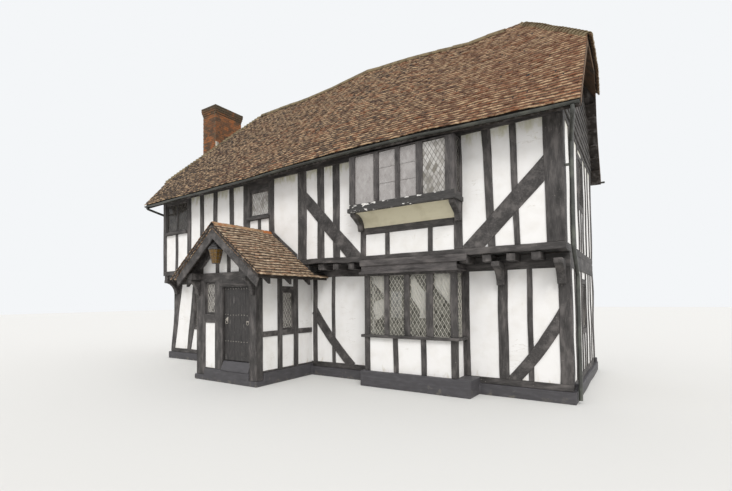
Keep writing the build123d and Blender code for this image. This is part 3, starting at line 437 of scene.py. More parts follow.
@dataclass(frozen=True)
class LimeMortar(Finish):
    """Weathered lime mortar: pale, sandy and crumbling."""
    name: str = "lime_mortar"
    ground: str = "#5c4c3a"

    def paint(self, tree: bpy.types.NodeTree, at: bpy.types.NodeSocket) -> dict:
        """Grit of 4 mm with dark damp patches of 0.2 m.

        Args:
            tree: the material's node tree.
            at: the object's coordinates.

        Returns:
            The shader's inputs.
        """
        grit = grainy(tree, at, 0.008, detail=3.0)
        damp = grainy(tree, at, 0.2, detail=5.0)
        colour = coats(tree, self.ground, [(damp, 0.5, 0.75, "#453c2f"), (grit, 0.6, 0.8, "#85775f")])
        return {"Base Color": colour, "Roughness": 0.95, "height": grit, "depth": 0.004}


@dataclass(frozen=True)
class OldGlass(Finish):
    """Thin drawn glass in small quarries, dusty behind, so that it shows grey and lets some light by."""
    name: str
    tint: str = "#8c8984"
    dark: str = "#3c3833"
    light: str = "#b9b6b1"
    cover: float = 0.5

    def paint(self, tree: bpy.types.NodeTree, at: bpy.types.NodeSocket) -> dict:
        """Each quarry has its own tone, under smears of 0.35 m.

        Args:
            tree: the material's node tree.
            at: the object's coordinates.

        Returns:
            The shader's inputs.
        """
        tone = add(tree, "ShaderNodeAttribute", attribute_name="tone").outputs["Fac"]
        smear = grainy(tree, at, 0.35, detail=4.0)
        colour = coats(tree, self.tint, [(tone, 0.35, 0.0, self.dark), (tone, 0.7, 1.0, self.light),
                                         (smear, 0.5, 0.75, self.light), (smear, 0.42, 0.25, self.dark)])
        return {"Base Color": colour, "Roughness": 0.08, "IOR": 1.5, "Alpha": self.cover}


@dataclass(frozen=True)
class Metal(Finish):
    """A plain metal surface: dull, with a bloom of its own oxide in patches."""
    name: str
    ground: str
    bloom: str
    metallic: float = 0.6
    rough: float = 0.5
    patch: float = 0.04

    def paint(self, tree: bpy.types.NodeTree, at: bpy.types.NodeSocket) -> dict:
        """Bloom in patches of the given size, which are rougher and stand up a little.

        Args:
            tree: the material's node tree.
            at: the object's coordinates.

        Returns:
            The shader's inputs.
        """
        bloom = grainy(tree, at, self.patch, detail=6.0)
        colour = coats(tree, self.ground, [(bloom, 0.48, 0.7, self.bloom)])
        rough = add(tree, "ShaderNodeMapRange", {"Value": bloom, "To Min": self.rough - 0.12,
                                                 "To Max": self.rough + 0.2})
        return {"Base Color": colour, "Roughness": rough.outputs[0], "Metallic": self.metallic,
                "height": bloom, "depth": 0.001}


@dataclass(frozen=True)
class FlakingPaint(Finish):
    """Black paint over an older white coat, flaking off a sill in ragged patches."""
    name: str = "flaking_paint"
    middle: float = 3.962
    to_edges: float = 1.7
    to_left: float = -0.055

    def paint(self, tree: bpy.types.NodeTree, at: bpy.types.NodeSocket) -> dict:
        """Flakes of 60 mm, most of them along the sill's lower and upper edges and to the left.

        Args:
            tree: the material's node tree.
            at: the object's coordinates.

        Returns:
            The shader's inputs.
        """
        flake = grainy(tree, at, 0.06, (2.2, 1.0, 1.0), 5.0)
        split = add(tree, "ShaderNodeSeparateXYZ", {0: at})
        edge = add(tree, "ShaderNodeMath", {0: split.outputs[2], 1: self.middle}, operation="SUBTRACT")
        edge = add(tree, "ShaderNodeMath", {0: edge.outputs[0]}, operation="ABSOLUTE")
        flake = add(tree, "ShaderNodeMath", {0: edge.outputs[0], 1: self.to_edges, 2: flake},
                    operation="MULTIPLY_ADD")
        flake = add(tree, "ShaderNodeMath", {0: split.outputs[0], 1: self.to_left, 2: flake.outputs[0]},
                    operation="MULTIPLY_ADD").outputs[0]
        grain = grainy(tree, at, 0.008, Run.ALONG.value, 5.0)
        colour = coats(tree, "#353331", [(grain, 0.45, 0.7, "#4d4a48"), (flake, 0.560, 0.580, "#dedbd6"),
                                         (flake, 0.70, 0.72, "#8a8378")])
        return {"Base Color": colour, "Roughness": 0.7, "height": flake, "depth": 0.003}


@dataclass(frozen=True)
class Fabric(Finish):
    """Fine cotton net: bright and soft, with its threads showing."""
    name: str = "cotton_net"
    mesh: float = 0.0125

    def paint(self, tree: bpy.types.NodeTree, at: bpy.types.NodeSocket) -> dict:
        """A mesh of 12.5 mm, drawn coarser than the real 2 mm so that it shows.

        Args:
            tree: the material's node tree.
            at: the object's coordinates.

        Returns:
            The shader's inputs.
        """
        net = add(tree, "ShaderNodeTexVoronoi", {"Vector": at, "Scale": 1 / self.mesh},
                  feature="DISTANCE_TO_EDGE").outputs["Distance"]
        colour = coats(tree, "#e9e7e1", [(net, 0.2, 0.4, "#cfccc4")])
        return {"Base Color": colour, "Roughness": 0.9, "Sheen Weight": 0.3, "height": net, "depth": 0.001}


@dataclass(frozen=True)
class FloorOak(Finish):
    """Bare oak boards, scrubbed and walked on."""
    name: str = "floor_oak"
    ground: str = "#5f4d3a"
    board: float = 0.1974
    jutting: float = -1.93

    def paint(self, tree: bpy.types.NodeTree, at: bpy.types.NodeSocket) -> dict:
        """Boards that run along the house, with 6 mm joints, near black where they jut out under the jetty.

        The wave texture has 20 radians to a unit at a scale of 1.

        Args:
            tree: the material's node tree.
            at: the object's coordinates.

        Returns:
            The shader's inputs.
        """
        grain = grainy(tree, at, 0.012, Run.ALONG.value, 5.0)
        boards = add(tree, "ShaderNodeTexWave", {"Vector": at, "Scale": math.tau / (20 * self.board)},
                     wave_type="BANDS", bands_direction="Y", wave_profile="SAW")
        split = add(tree, "ShaderNodeSeparateXYZ", {0: at})
        outside = self.jutting + PLAN.y
        # Past the jetty's wall line the boards are made near black, where they show under the jetty.
        colour = coats(tree, self.ground, [
            (grain, 0.4, 0.7, "#766049"), (boards.outputs[1], 0.03, 0.0, "#2a2119"),
            (split.outputs[1], outside, outside - 0.002, "#252321")])
        return {"Base Color": colour, "Roughness": 0.55, "height": grain, "depth": 0.003}


@dataclass(frozen=True)
class AmberGlass(Finish):
    """Amber cathedral glass, rippled and dusty."""
    name: str = "amber_cathedral_glass"

    def paint(self, tree: bpy.types.NodeTree, at: bpy.types.NodeSocket) -> dict:
        """Ripples of 20 mm with dirt in the hollows.

        Args:
            tree: the material's node tree.
            at: the object's coordinates.

        Returns:
            The shader's inputs.
        """
        ripple = grainy(tree, at, 0.02, detail=3.0)
        colour = coats(tree, "#634819", [(ripple, 0.45, 0.65, "#7d5f2d"), (ripple, 0.42, 0.28, "#3a2a13")])
        return {"Base Color": colour, "Roughness": 0.25, "IOR": 1.5, "Alpha": 0.9, "height": ripple,
                "depth": 0.003}


OAK_UP = TarredOak("tarred_oak_upright", Run.UPRIGHT)
OAK_ALONG = TarredOak("tarred_oak_level", Run.ALONG)
OAK_IN = TarredOak("tarred_oak_inward", Run.INWARD)
OAK_BENT = TarredOak("tarred_oak_brace", Run.MIXED)
OAK_BOARDS = TarredOak("stained_weatherboard", Run.INWARD, "#2e2a26", "#48423b")
OAK_SOFFIT = TarredOak("stained_soffit", Run.INWARD, "#241d18", "#33291f")
OAK_DOOR = PlankOak()
OAK_CORNICE = TarredOak("weathered_cornice_oak", Run.ALONG, "#403c3b", "#5e5957")
OAK_ORIEL = TarredOak("weathered_oriel_oak", Run.UPRIGHT, "#3b3736", "#5a5654")
LIMEWASH = Limewash()
# The cove's cream limewash, darkened by a painted shade of the oriel above it.
CREAM_IN_SHADE = Limewash("cream_limewash_painted_shade", "#cdc6ad", "#bcb499")
# Plaster on the panel faces that look into the rooms, darkened as a painted shade of the dim rooms.
ROOM_SHADE_PLASTER = Limewash("painted_room_shade_plaster", "#6a6458", "#59534a")
PLINTH = TarredMasonry()
STEP_PAINT = TarredMasonry("step_paint", "#484648")
TILE = ClayTile()
MOSSY_TILE = ClayTile("mossy_clay_tile", "#58462f", "#3d3125", "#654b33", "#8b7960", "#a8957b", "#4f4b2c",
                      "#1f1811")
PORCH_TILE = ClayTile("lichened_clay_tile", "#8a7159", "#6f5843", "#936e52", "#ab967d", "#cbb498", "#6e6445",
                      "#1d1610", 0.25)
PORCH_RIDGE = ClayTile("tan_half_round", "#8f6b4c", "#745a41", "#a5683f", "#b09a79", "#a1815f", "#75683f",
                       "#8f6b4c")
NEW_RIDGE = ClayTile("orange_half_round", "#a8602f", "#8f5a35", "#b86a35", "#b08a60", "#ad6a3a", "#8a6a3c",
                     "#a8602f")
RIDGE_CLAY = ClayTile("mossy_half_round", "#5c4f3a", "#473f2f", "#6b5339", "#84765c", "#786a4f", "#504c31",
                      "#5b4c38")
BRICK = StockBrick()
MORTAR = LimeMortar()
LIME = LimeMortar("lime_flashing", "#c9c4b6")
VERGE_MORTAR = LimeMortar("verge_mortar", "#6b523c")
BAY_GLASS = OldGlass("clear_quarries", "#8c8a7f", "#55534b", "#a19f93", 0.42)
ORIEL_GLASS = OldGlass("dusty_quarries", "#a29d9a", "#989390", "#aeaaa7", 0.92)
PATCHED_GLASS = OldGlass("patched_quarries", "#b3afa9", "#7c776d", "#cbc8c3", 0.9)
PORCH_GLASS = OldGlass("dim_quarries", "#787470", "#524e49", "#95918b", 0.8)
# Glass darkened as a painted shade of the dim rooms behind it, for the oriel's return and the upper left
# windows.
ROOM_SHADE_GLASS = OldGlass("dark_quarries", "#44413d", "#33302d", "#5b5752", 0.7)
LEAD_PALE = Metal("pale_lead_came", "#b5b1a6", "#cfcac0", 0.1, 0.6)
LEAD_DULL = Metal("dusty_lead_came", "#b2aeab", "#938e8a", 0.1, 0.6)
LEAD_DARK = Metal("grimy_lead_came", "#6f6b67", "#858079", 0.1, 0.6)
IRON = Metal("forged_iron", "#4a4743", "#6e675e", 0.6, 0.5)
DUSTY_IRON = Metal("dusty_iron", "#3a3837", "#5c595a", 0.2, 0.5)
NAIL_IRON = Metal("worn_nail_iron", "#a09a90", "#beb8ad", 0.2, 0.5)
RAIN_IRON = Metal("cast_iron_gutter", "#3f403c", "#5f6158", 0.1, 0.36, 0.3)
FLAKING = FlakingPaint()
NET = Fabric()
FLOOR_OAK = FloorOak()
AMBER = AmberGlass()


def cad_copy(node: str) -> bmesh.types.BMesh:
    """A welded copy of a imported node's mesh, with its flat faces made whole.

    Args:
        node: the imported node's name.

    Returns:
        The copy, open for modelling.
    """
    copy = bmesh.new()
    copy.from_mesh(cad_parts[node].data)
    for layer in list(copy.loops.layers.uv):
        copy.loops.layers.uv.remove(layer)
    bmesh.ops.translate(copy, verts=copy.verts, vec=-PLAN)
    bmesh.ops.remove_doubles(copy, verts=copy.verts, dist=2e-5)
    bmesh.ops.dissolve_limit(copy, angle_limit=math.radians(0.5), verts=copy.verts, edges=copy.edges)
    bmesh.ops.connect_verts_concave(copy, faces=copy.faces)
    return copy


def axes(first: Vector, second: Vector, third: Vector) -> Matrix:
    """The turn that takes X, Y and Z to three directions."""
    return Matrix((first, second, third)).transposed().to_4x4()


def everything(shape: bmesh.types.BMesh) -> list:
    """All points, edges and faces of a shape, which a cut goes through."""
    return [*shape.verts, *shape.edges, *shape.faces]


def soften(shape: bmesh.types.BMesh, width: float, segments: int = 1, sharp: float = 0.5) -> None:
    """Rounds every sharp edge of a shape.

    Args:
        shape: the open shape.
        width: metres that the rounding takes.
        segments: faces across the rounding.
        sharp: the least angle of an edge that is rounded, in radians.
    """
    edges = [e for e in shape.edges if len(e.link_faces) == 2 and e.calc_face_angle(0.0) > sharp]
    bmesh.ops.bevel(shape, geom=edges, offset=width, offset_type="OFFSET", segments=segments, profile=0.5,
                    affect="EDGES", clamp_overlap=True, material=-1)


def slice_up(shape: bmesh.types.BMesh, step: float, axes: str = "XYZ") -> None:
    """Cuts a shape by level planes, so that it can bend.

    Args:
        shape: the open shape.
        step: metres between the planes.
        axes: the axes that the planes follow each other along.
    """
    for axis in axes:
        number = "XYZ".index(axis)
        places = [v.co[number] for v in shape.verts]
        normal = Vector((0.0, 0.0, 0.0))
        normal[number] = 1.0
        for count in range(math.ceil(min(places) / step), math.floor(max(places) / step) + 1):
            bmesh.ops.bisect_plane(shape, geom=everything(shape), dist=WELD,
                                   plane_co=normal * (count * step), plane_no=normal)


def trim(shape: bmesh.types.BMesh, planes: list[tuple[Vector, Vector]]) -> None:
    """Cuts away what lies outside each plane and closes the cut.

    Args:
        shape: the open shape.
        planes: a point of each plane, and the direction that is cut away.
    """
    for point, outward in planes:
        cut = bmesh.ops.bisect_plane(shape, geom=everything(shape), dist=WELD, plane_co=point,
                                     plane_no=outward, clear_outer=True)
        edges = [g for g in cut["geom_cut"] if isinstance(g, bmesh.types.BMEdge)]
        bmesh.ops.holes_fill(shape, edges=edges, sides=0)


def lay(pattern: bmesh.types.BMesh, places: list[Matrix], rng: random.Random) -> bmesh.types.BMesh:
    """Copies one small shape to every place, each copy with its own tone.

    Args:
        pattern: the small shape, which is freed.
        places: where the copies go.
        rng: draws the tones.

    Returns:
        All the copies in one open shape.
    """
    source = bpy.data.meshes.new("pattern")
    pattern.to_mesh(source)
    each = len(pattern.faces)
    pattern.free()
    laid = bmesh.new()
    for place in places:
        copy = source.copy()
        copy.transform(place)
        laid.from_mesh(copy)
        bpy.data.meshes.remove(copy)
    bpy.data.meshes.remove(source)
    tones = [rng.random() for _ in places]
    tone = laid.faces.layers.float.new("tone")
    for number, face in enumerate(laid.faces):
        face[tone] = tones[number // each]
    return laid


def block(low: tuple[float, float, float], high: tuple[float, float, float],
          round_by: float = 0.0) -> bmesh.types.BMesh:
    """A squared piece between two corners.

    Args:
        low: the lowest corner.
        high: the highest corner.
        round_by: metres that the rounding of its edges takes, or 0 for sharp edges.

    Returns:
        The open shape.
    """
    shape = bmesh.new()
    size = Vector(high) - Vector(low)
    middle = (Vector(high) + Vector(low)) / 2
    bmesh.ops.create_cube(shape, size=1.0, matrix=Matrix.Translation(middle) @ Matrix.Diagonal((*size, 1.0)))
    if round_by:
        soften(shape, round_by)
    return shape


def join(shapes: list[bmesh.types.BMesh]) -> bmesh.types.BMesh:
    """Puts several open shapes in one.

    Args:
        shapes: the shapes, which are freed.

    Returns:
        The open shape that holds them all.
    """
    joined = bmesh.new()
    for shape in shapes:
        mesh = bpy.data.meshes.new("held")
        shape.to_mesh(mesh)
        shape.free()
        joined.from_mesh(mesh)
        bpy.data.meshes.remove(mesh)
    return joined


def piece(name: str, shape: bmesh.types.BMesh, finishes: list[Finish], body: str = HOUSE,
          replaces: tuple[str, ...] = (), smooth: bool = False) -> bpy.types.Object:
    """Makes a finished object of an open shape and lets it ride on a body.

    Args:
        name: the object's name.
        shape: the open shape, which is freed.
        finishes: its materials, by material number.
        body: the body that it rides on.
        replaces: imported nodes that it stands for.
        smooth: whether its faces are shaded smooth.

    Returns:
        The object.
    """
    mesh = bpy.data.meshes.new(name)
    if smooth:
        for face in shape.faces:
            face.smooth = True
    bmesh.ops.translate(shape, verts=shape.verts, vec=PLAN)
    shape.to_mesh(mesh)
    shape.free()
    made = bpy.data.objects.new(name, mesh)
    bpy.context.scene.collection.objects.link(made)
    for finish in finishes:
        mesh.materials.append(finish.material())
    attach(made, body)
    if replaces:
        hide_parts(*replaces)
    LOG.info("%s: %d faces", name, len(mesh.polygons))
    return made


def dress(node: str, finish: Finish) -> None:
    """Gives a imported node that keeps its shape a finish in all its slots.

    Args:
        node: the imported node's name.
        finish: what it is finished with.
    """
    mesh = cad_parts[node].data
    if not mesh.materials:
        mesh.materials.append(None)
    for number in range(len(mesh.materials)):
        mesh.materials[number] = finish.material()


@dataclass(frozen=True)
class Settling:
    """How the frame has moved with age: a slow wander that all touching parts share.

    Near the hung door nothing has moved, and the jetty has a hump right of the porch.
    """
    reach: float = 0.016
    wave: float = 0.8
    inward: float = 0.35
    upward: float = 0.6
    doorway: Vector = Vector((-0.77, -3.8, 1.4))
    still: float = 1.1
    blend: float = 0.8
    hump: float = 0.035
    hump_x: float = 0.55
    hump_z: float = 2.85
    hump_wide: float = 0.9
    hump_tall: float = 0.5

    def shift(self, at: Vector) -> Vector:
        """How far the house has moved at a point.

        Args:
            at: the point, drawn from the plan's origin.

        Returns:
            The way that it has moved.
        """
        free = held(((at - self.doorway).length - self.still) / self.blend)
        wander = noise.noise_vector(at / self.wave)
        across, over = (at.x - self.hump_x) / self.hump_wide, (at.z - self.hump_z) / self.hump_tall
        rise = self.hump * math.exp(-across ** 2 - over ** 2) * free
        moved = Vector((wander.x, wander.y * self.inward, wander.z * self.upward))
        return moved * (self.reach * free) + UP * rise


@dataclass(frozen=True)
class RoofSway:
    """The roof's sagged lines: heights of the ridge, and how far the eaves stand off level.

    The rear of the right verge has crept inwards.
    """
    ridge: tuple[tuple[float, float], ...] = (
        (-3.95, 8.575), (-2.3, 8.585), (-1.55, 8.59), (-0.89, 8.635), (-0.2, 8.705), (0.51, 8.765),
        (1.13, 8.745), (2.0, 8.695), (2.88, 8.595), (3.69, 8.535), (4.44, 8.545), (5.02, 8.565))
    eave: tuple[tuple[float, float], ...] = (
        (-6.4, -0.10), (-4.0, -0.06), (-1.72, -0.02), (0.31, 0.045), (1.56, 0.06), (3.3, 0.065),
        (4.56, 0.02), (5.46, -0.01), (6.5, -0.03))
    ripple: float = 0.022
    patch: float = 0.8
    creep: float = -0.11
    creep_from: float = 6.2
    creep_over: float = 0.3
    creep_rear: float = 2.0

    @staticmethod
    def between(line: tuple[tuple[float, float], ...], x: float) -> float:
        """Reads a line at one place, with eased steps between its points.

        Args:
            line: places along X and the value at each.
            x: the place.

        Returns:
            The value there.
        """
        if x <= line[0][0]:
            return line[0][1]
        for (x0, v0), (x1, v1) in zip(line, line[1:]):
            if x <= x1:
                t = (x - x0) / (x1 - x0)
                return v0 + (v1 - v0) * t * t * (3 - 2 * t)
        return line[-1][1]

    def lift(self, at: Vector) -> float:
        """How much higher than the plain slope the roof is at a point.

        Args:
            at: the point on the plain slope.

        Returns:
            Metres, less than 0 where it sags.
        """
        share = held((at.z - EAVE_Z) / (RIDGE_Z - EAVE_Z))
        ends = held((at.x - VERGE_LEFT) / (RIDGE_LEFT - VERGE_LEFT))
        ends = min(ends, held((VERGE_RIGHT - at.x) / (VERGE_RIGHT - RIDGE_RIGHT)))
        high = (self.between(self.ridge, at.x) - RIDGE_Z) * ends
        low = self.between(self.eave, at.x)
        local = noise.noise(Vector((at.x, at.y * 1.5, 0.0)) / self.patch) * self.ripple
        return low * (1 - share) + high * share + local

    def apply(self, shape: bmesh.types.BMesh) -> None:
        """Moves every point of a shape with the roof.

        Args:
            shape: the open shape, drawn for the plain slopes.
        """
        for vertex in shape.verts:
            lift = self.lift(vertex.co)
            share = held((vertex.co.x - self.creep_from) / self.creep_over)
            share *= held(vertex.co.y / self.creep_rear)
            vertex.co += Vector((self.creep * share, 0.0, lift))


RIDGE_Z = box("roof_front")[1].z
SETTLING = Settling()
SWAY = RoofSway()


@dataclass
class Studio:
    """The camera of the photograph, plain soft light and a pale floor."""
    place: tuple[float, float, float] = (7.2425, -10.4432, 1.9743)
    yaw: float = math.radians(33.24139)
    pitch: float = math.radians(1.73309)
    roll: float = math.radians(-0.61449)
    lens: float = 20.577
    sensor: float = 36.0
    shift_y: float = 0.05546
    sight: float = 500.0
    lamp_power: float = 1.75
    lamp_spread: float = math.radians(22)
    lamp_tilt: float = math.radians(48)
    lamp_turn: float = math.radians(40)
    sky: str = "#f6f6f8"
    backdrop: str = "#f4f6f8"
    paper: str = "#d9d8d4"
    floor_size: float = 160.0

    def camera(self) -> None:
        """Sets the camera by its turn to the left, its tilt up and its roll."""
        right = Vector((math.cos(self.yaw), math.sin(self.yaw), 0.0))
        level = Vector((-math.sin(self.yaw), math.cos(self.yaw), 0.0))
        ahead = level * math.cos(self.pitch) + UP * math.sin(self.pitch)
        over = UP * math.cos(self.pitch) - level * math.sin(self.pitch)
        side = right * math.cos(self.roll) + over * math.sin(self.roll)
        over = over * math.cos(self.roll) - right * math.sin(self.roll)
        data = bpy.data.cameras.new("photo_camera")
        data.lens = self.lens
        data.sensor_width = self.sensor
        data.sensor_fit = "HORIZONTAL"
        data.shift_y = self.shift_y
        data.clip_end = self.sight
        made = bpy.data.objects.new("photo_camera", data)
        made.matrix_world = Matrix.Translation(PLAN + Vector(self.place)) @ axes(side, over, -ahead)
        bpy.context.scene.collection.objects.link(made)
        bpy.context.scene.camera = made

    def light(self) -> None:
        """An even pale sky with one broad soft lamp from the front right."""
        world = bpy.data.worlds.new("studio")
        bpy.context.scene.world = world
        world.use_nodes = True
        tree = world.node_tree
        tree.nodes.clear()
        path = add(tree, "ShaderNodeLightPath")
        seen = path.outputs["Is Camera Ray"]
        for ray in ("Is Glossy Ray", "Is Transmission Ray"):
            seen = add(tree, "ShaderNodeMath", {0: seen, 1: path.outputs[ray]},
                       operation="MAXIMUM").outputs[0]
        lamp = add(tree, "ShaderNodeBackground", {"Color": linear(self.sky), "Strength": 1.0})
        view = add(tree, "ShaderNodeBackground", {"Color": linear(self.backdrop), "Strength": 1.0})
        both = add(tree, "ShaderNodeMixShader", {0: seen, 1: lamp.outputs[0], 2: view.outputs[0]})
        add(tree, "ShaderNodeOutputWorld", {"Surface": both.outputs[0]})
        sun = bpy.data.lights.new("soft_lamp", "SUN")
        sun.energy = self.lamp_power
        sun.angle = self.lamp_spread
        made = bpy.data.objects.new("soft_lamp", sun)
        made.rotation_euler = (self.lamp_tilt, 0.0, self.lamp_turn)
        bpy.context.scene.collection.objects.link(made)

    def floor(self) -> None:
        """A plain pale floor under the house."""
        shape = bmesh.new()
        bmesh.ops.create_grid(shape, x_segments=1, y_segments=1, size=self.floor_size / 2)
        mesh = bpy.data.meshes.new("studio_floor")
        shape.to_mesh(mesh)
        shape.free()
        made = bpy.data.objects.new("studio_floor", mesh)
        bpy.context.scene.collection.objects.link(made)
        material = bpy.data.materials.new("studio_floor")
        material.use_nodes = True
        tree = material.node_tree
        tree.nodes.clear()
        paper = add(tree, "ShaderNodeBsdfPrincipled", {"Base Color": linear(self.paper), "Roughness": 0.95})
        add(tree, "ShaderNodeOutputMaterial", {"Surface": paper.outputs[0]})
        mesh.materials.append(material)

    def build(self) -> None:
        """Sets up the camera, the light and the floor."""
        self.camera()
        self.light()
        self.floor()


@dataclass
class Frame:
    """Timbers and panels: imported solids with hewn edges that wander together.

    The bressumer is eaten away below, the porch's tie beam hangs in its middle, and the oriel's
    head is cut high over a bottom rail with a flaking coat.
    """
    cell: float = 0.3
    arris: float = 0.007
    hewn: float = 0.003
    hewing: float = 7.0
    eaten_cell: float = 0.09
    eaten_below: float = 2.88
    eaten: float = 0.014
    eaten_wave: float = 0.020
    tie_front: float = -3.7
    tie_below: float = 2.56
    tie_left: float = -2.1
    tie_span: float = 1.9
    tie_sag: float = 0.045
    rail_high: float = 0.092
    head_low: float = 0.075
    head_share: float = 0.3
    stub_low: tuple[float, float, float] = (-6.17, -2.37, 2.668)
    stub_high: tuple[float, float, float] = (-6.01, -1.93, 2.815)
    oriel_from: tuple[float, float, float] = (1.5, -2.4, 3.5)
    outer_wall: float = 5.8
    timbers: tuple[tuple[str, Finish], ...] = (
        ("ground_posts", OAK_UP), ("upper_posts", OAK_UP), ("wall_studs", OAK_UP), ("wall_rails", OAK_ALONG),
        ("wall_braces", OAK_BENT), ("sill_beams", OAK_ALONG), ("head_beams", OAK_ALONG),
        ("bressumers", OAK_ALONG), ("cross_beams", OAK_IN), ("end_sills", OAK_IN), ("wall_plates", OAK_ALONG),
        ("tie_beams", OAK_ALONG), ("floor_joists", OAK_IN), ("curved_brackets", OAK_BENT),
        ("porch_posts", OAK_UP), ("bay_posts", OAK_UP), ("window_frames", OAK_UP),
        ("porch_boards", OAK_BENT), ("bay_cornice", OAK_CORNICE))
    panels: tuple[tuple[str, Finish, str], ...] = (
        ("ground_front_panels", LIMEWASH, "render"), ("ground_back_panels", LIMEWASH, "render"),
        ("upper_front_panels", LIMEWASH, "render"), ("upper_back_panels", LIMEWASH, "render"),
        ("bay_panels", LIMEWASH, "render"), ("porch_panels", LIMEWASH, "render"),
        ("oriel_cove", CREAM_IN_SHADE, "render"))

    def settle(self, shape: bmesh.types.BMesh, rough: float) -> None:
        """Moves a shape with the house, and roughens it on its own.

        Args:
            shape: the open shape.
            rough: metres that its surface strays.
        """
        for vertex in shape.verts:
            at = vertex.co.copy()
            vertex.co = at + SETTLING.shift(at) + noise.noise_vector(at * self.hewing) * rough

    def wear(self, node: str, shape: bmesh.types.BMesh) -> None:
        """Eats into the bressumer's lower edge and lets the porch's tie beam hang in its middle.

        Args:
            node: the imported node's name; most nodes are left as they are.
            shape: the node's open copy.
        """
        if node == "bressumers":
            slice_up(shape, self.eaten_cell, "X")
            for vertex in shape.verts:
                if vertex.co.z < self.eaten_below:
                    vertex.co.z += self.eaten + noise.noise(vertex.co * 4.5) * self.eaten_wave
        if node == "tie_beams":
            for vertex in shape.verts:
                if vertex.co.y < self.tie_front and vertex.co.z < self.tie_below:
                    share = held((vertex.co.x - self.tie_left) / self.tie_span)
                    vertex.co.z -= self.tie_sag * math.sin(math.pi * share ** 0.7)

    def copy(self, node: str, finish: Finish, slot: str, arris: float, rough: float) -> None:
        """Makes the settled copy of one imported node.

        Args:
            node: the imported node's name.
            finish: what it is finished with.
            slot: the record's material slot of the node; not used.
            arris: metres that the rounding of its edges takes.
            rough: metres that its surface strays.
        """
        shape = cad_copy(node)
        if arris:
            soften(shape, arris)
        slice_up(shape, self.cell)
        self.wear(node, shape)
        finishes = [finish]
        # Panel faces that look into the rooms get the dark plaster, a painted shade of the rooms' dimness.
        if finish is LIMEWASH and node not in ("bay_panels", "porch_panels"):
            finishes.append(ROOM_SHADE_PLASTER)
            for face in shape.faces:
                face.material_index = int(self.faces_rooms(face))
        self.settle(shape, rough)
        piece(f"{node}_aged", shape, finishes, replaces=(node,))

    def faces_rooms(self, face: bmesh.types.BMFace) -> bool:
        """Tells whether a wall panel's face looks into the rooms.

        Args:
            face: the face.

        Returns:
            True where the face points to the middle of the house.
        """
        centre = face.calc_center_median()
        across, along = face.normal.y * centre.y, face.normal.x * centre.x
        return across < -1.0 or (along < -3.0 and abs(centre.x) > self.outer_wall)

    def oriel(self) -> None:
        """The oriel's frame, with the sill's flaking coat on its bottom rail."""
        shape = cad_copy("oriel_frame")
        soften(shape, self.arris)
        slice_up(shape, self.cell)
        low, high = box("oriel_frame")
        rail, head = low.z + self.rail_high, high.z - self.head_low
        bmesh.ops.bisect_plane(shape, geom=everything(shape), dist=WELD, plane_co=(0.0, 0.0, rail),
                               plane_no=UP)
        for vertex in shape.verts:
            if vertex.co.z > head:
                vertex.co.z = high.z - (high.z - vertex.co.z) * self.head_share
        for face in shape.faces:
            face.material_index = int(face.calc_center_median().z < rail and face.normal.y < -0.5)
        self.settle(shape, self.hewn)
        piece("oriel_frame_aged", shape, [OAK_ORIEL, FLAKING], replaces=("oriel_frame",))

    def jetty_end(self) -> None:
        """The half joist that closes the jetty's left end over its bracket."""
        shape = block(self.stub_low, self.stub_high, self.arris)
        slice_up(shape, self.cell)
        self.settle(shape, self.hewn)
        piece("jetty_end_joist", shape, [OAK_IN])

    def sills(self) -> None:
        """The sills: only the oriel's has its old white coat showing through."""
        shape = cad_copy("window_sills")
        soften(shape, 0.006)
        slice_up(shape, self.cell)
        x, y, z = self.oriel_from
        for face in shape.faces:
            centre = face.calc_center_median()
            face.material_index = int(centre.x > x and centre.y < y and centre.z > z)
        self.settle(shape, 0.002)
        piece("window_sills_aged", shape, [OAK_ALONG, FLAKING], replaces=("window_sills",))

    def build(self) -> None:
        """Makes every timber and panel."""
        for node, finish in self.timbers:
            self.copy(node, finish, "black_timber", self.arris, self.hewn)
        for node, finish, slot in self.panels:
            self.copy(node, finish, slot, 0.0, 0.0)
        self.copy("plinth", PLINTH, "tarred_plinth", 0.012, 0.003)
        self.sills()
        self.oriel()
        self.jetty_end()
        dress("rafters", OAK_IN)
        dress("gable_boards", OAK_SOFFIT)
        dress("ground_floor", FLOOR_OAK)
        dress("upper_floor_boards", FLOOR_OAK)
        dress("door_frame", OAK_UP)
        dress("door_pintles", IRON)
        dress("door_straps", IRON)
        dress("door_ledges", OAK_DOOR)


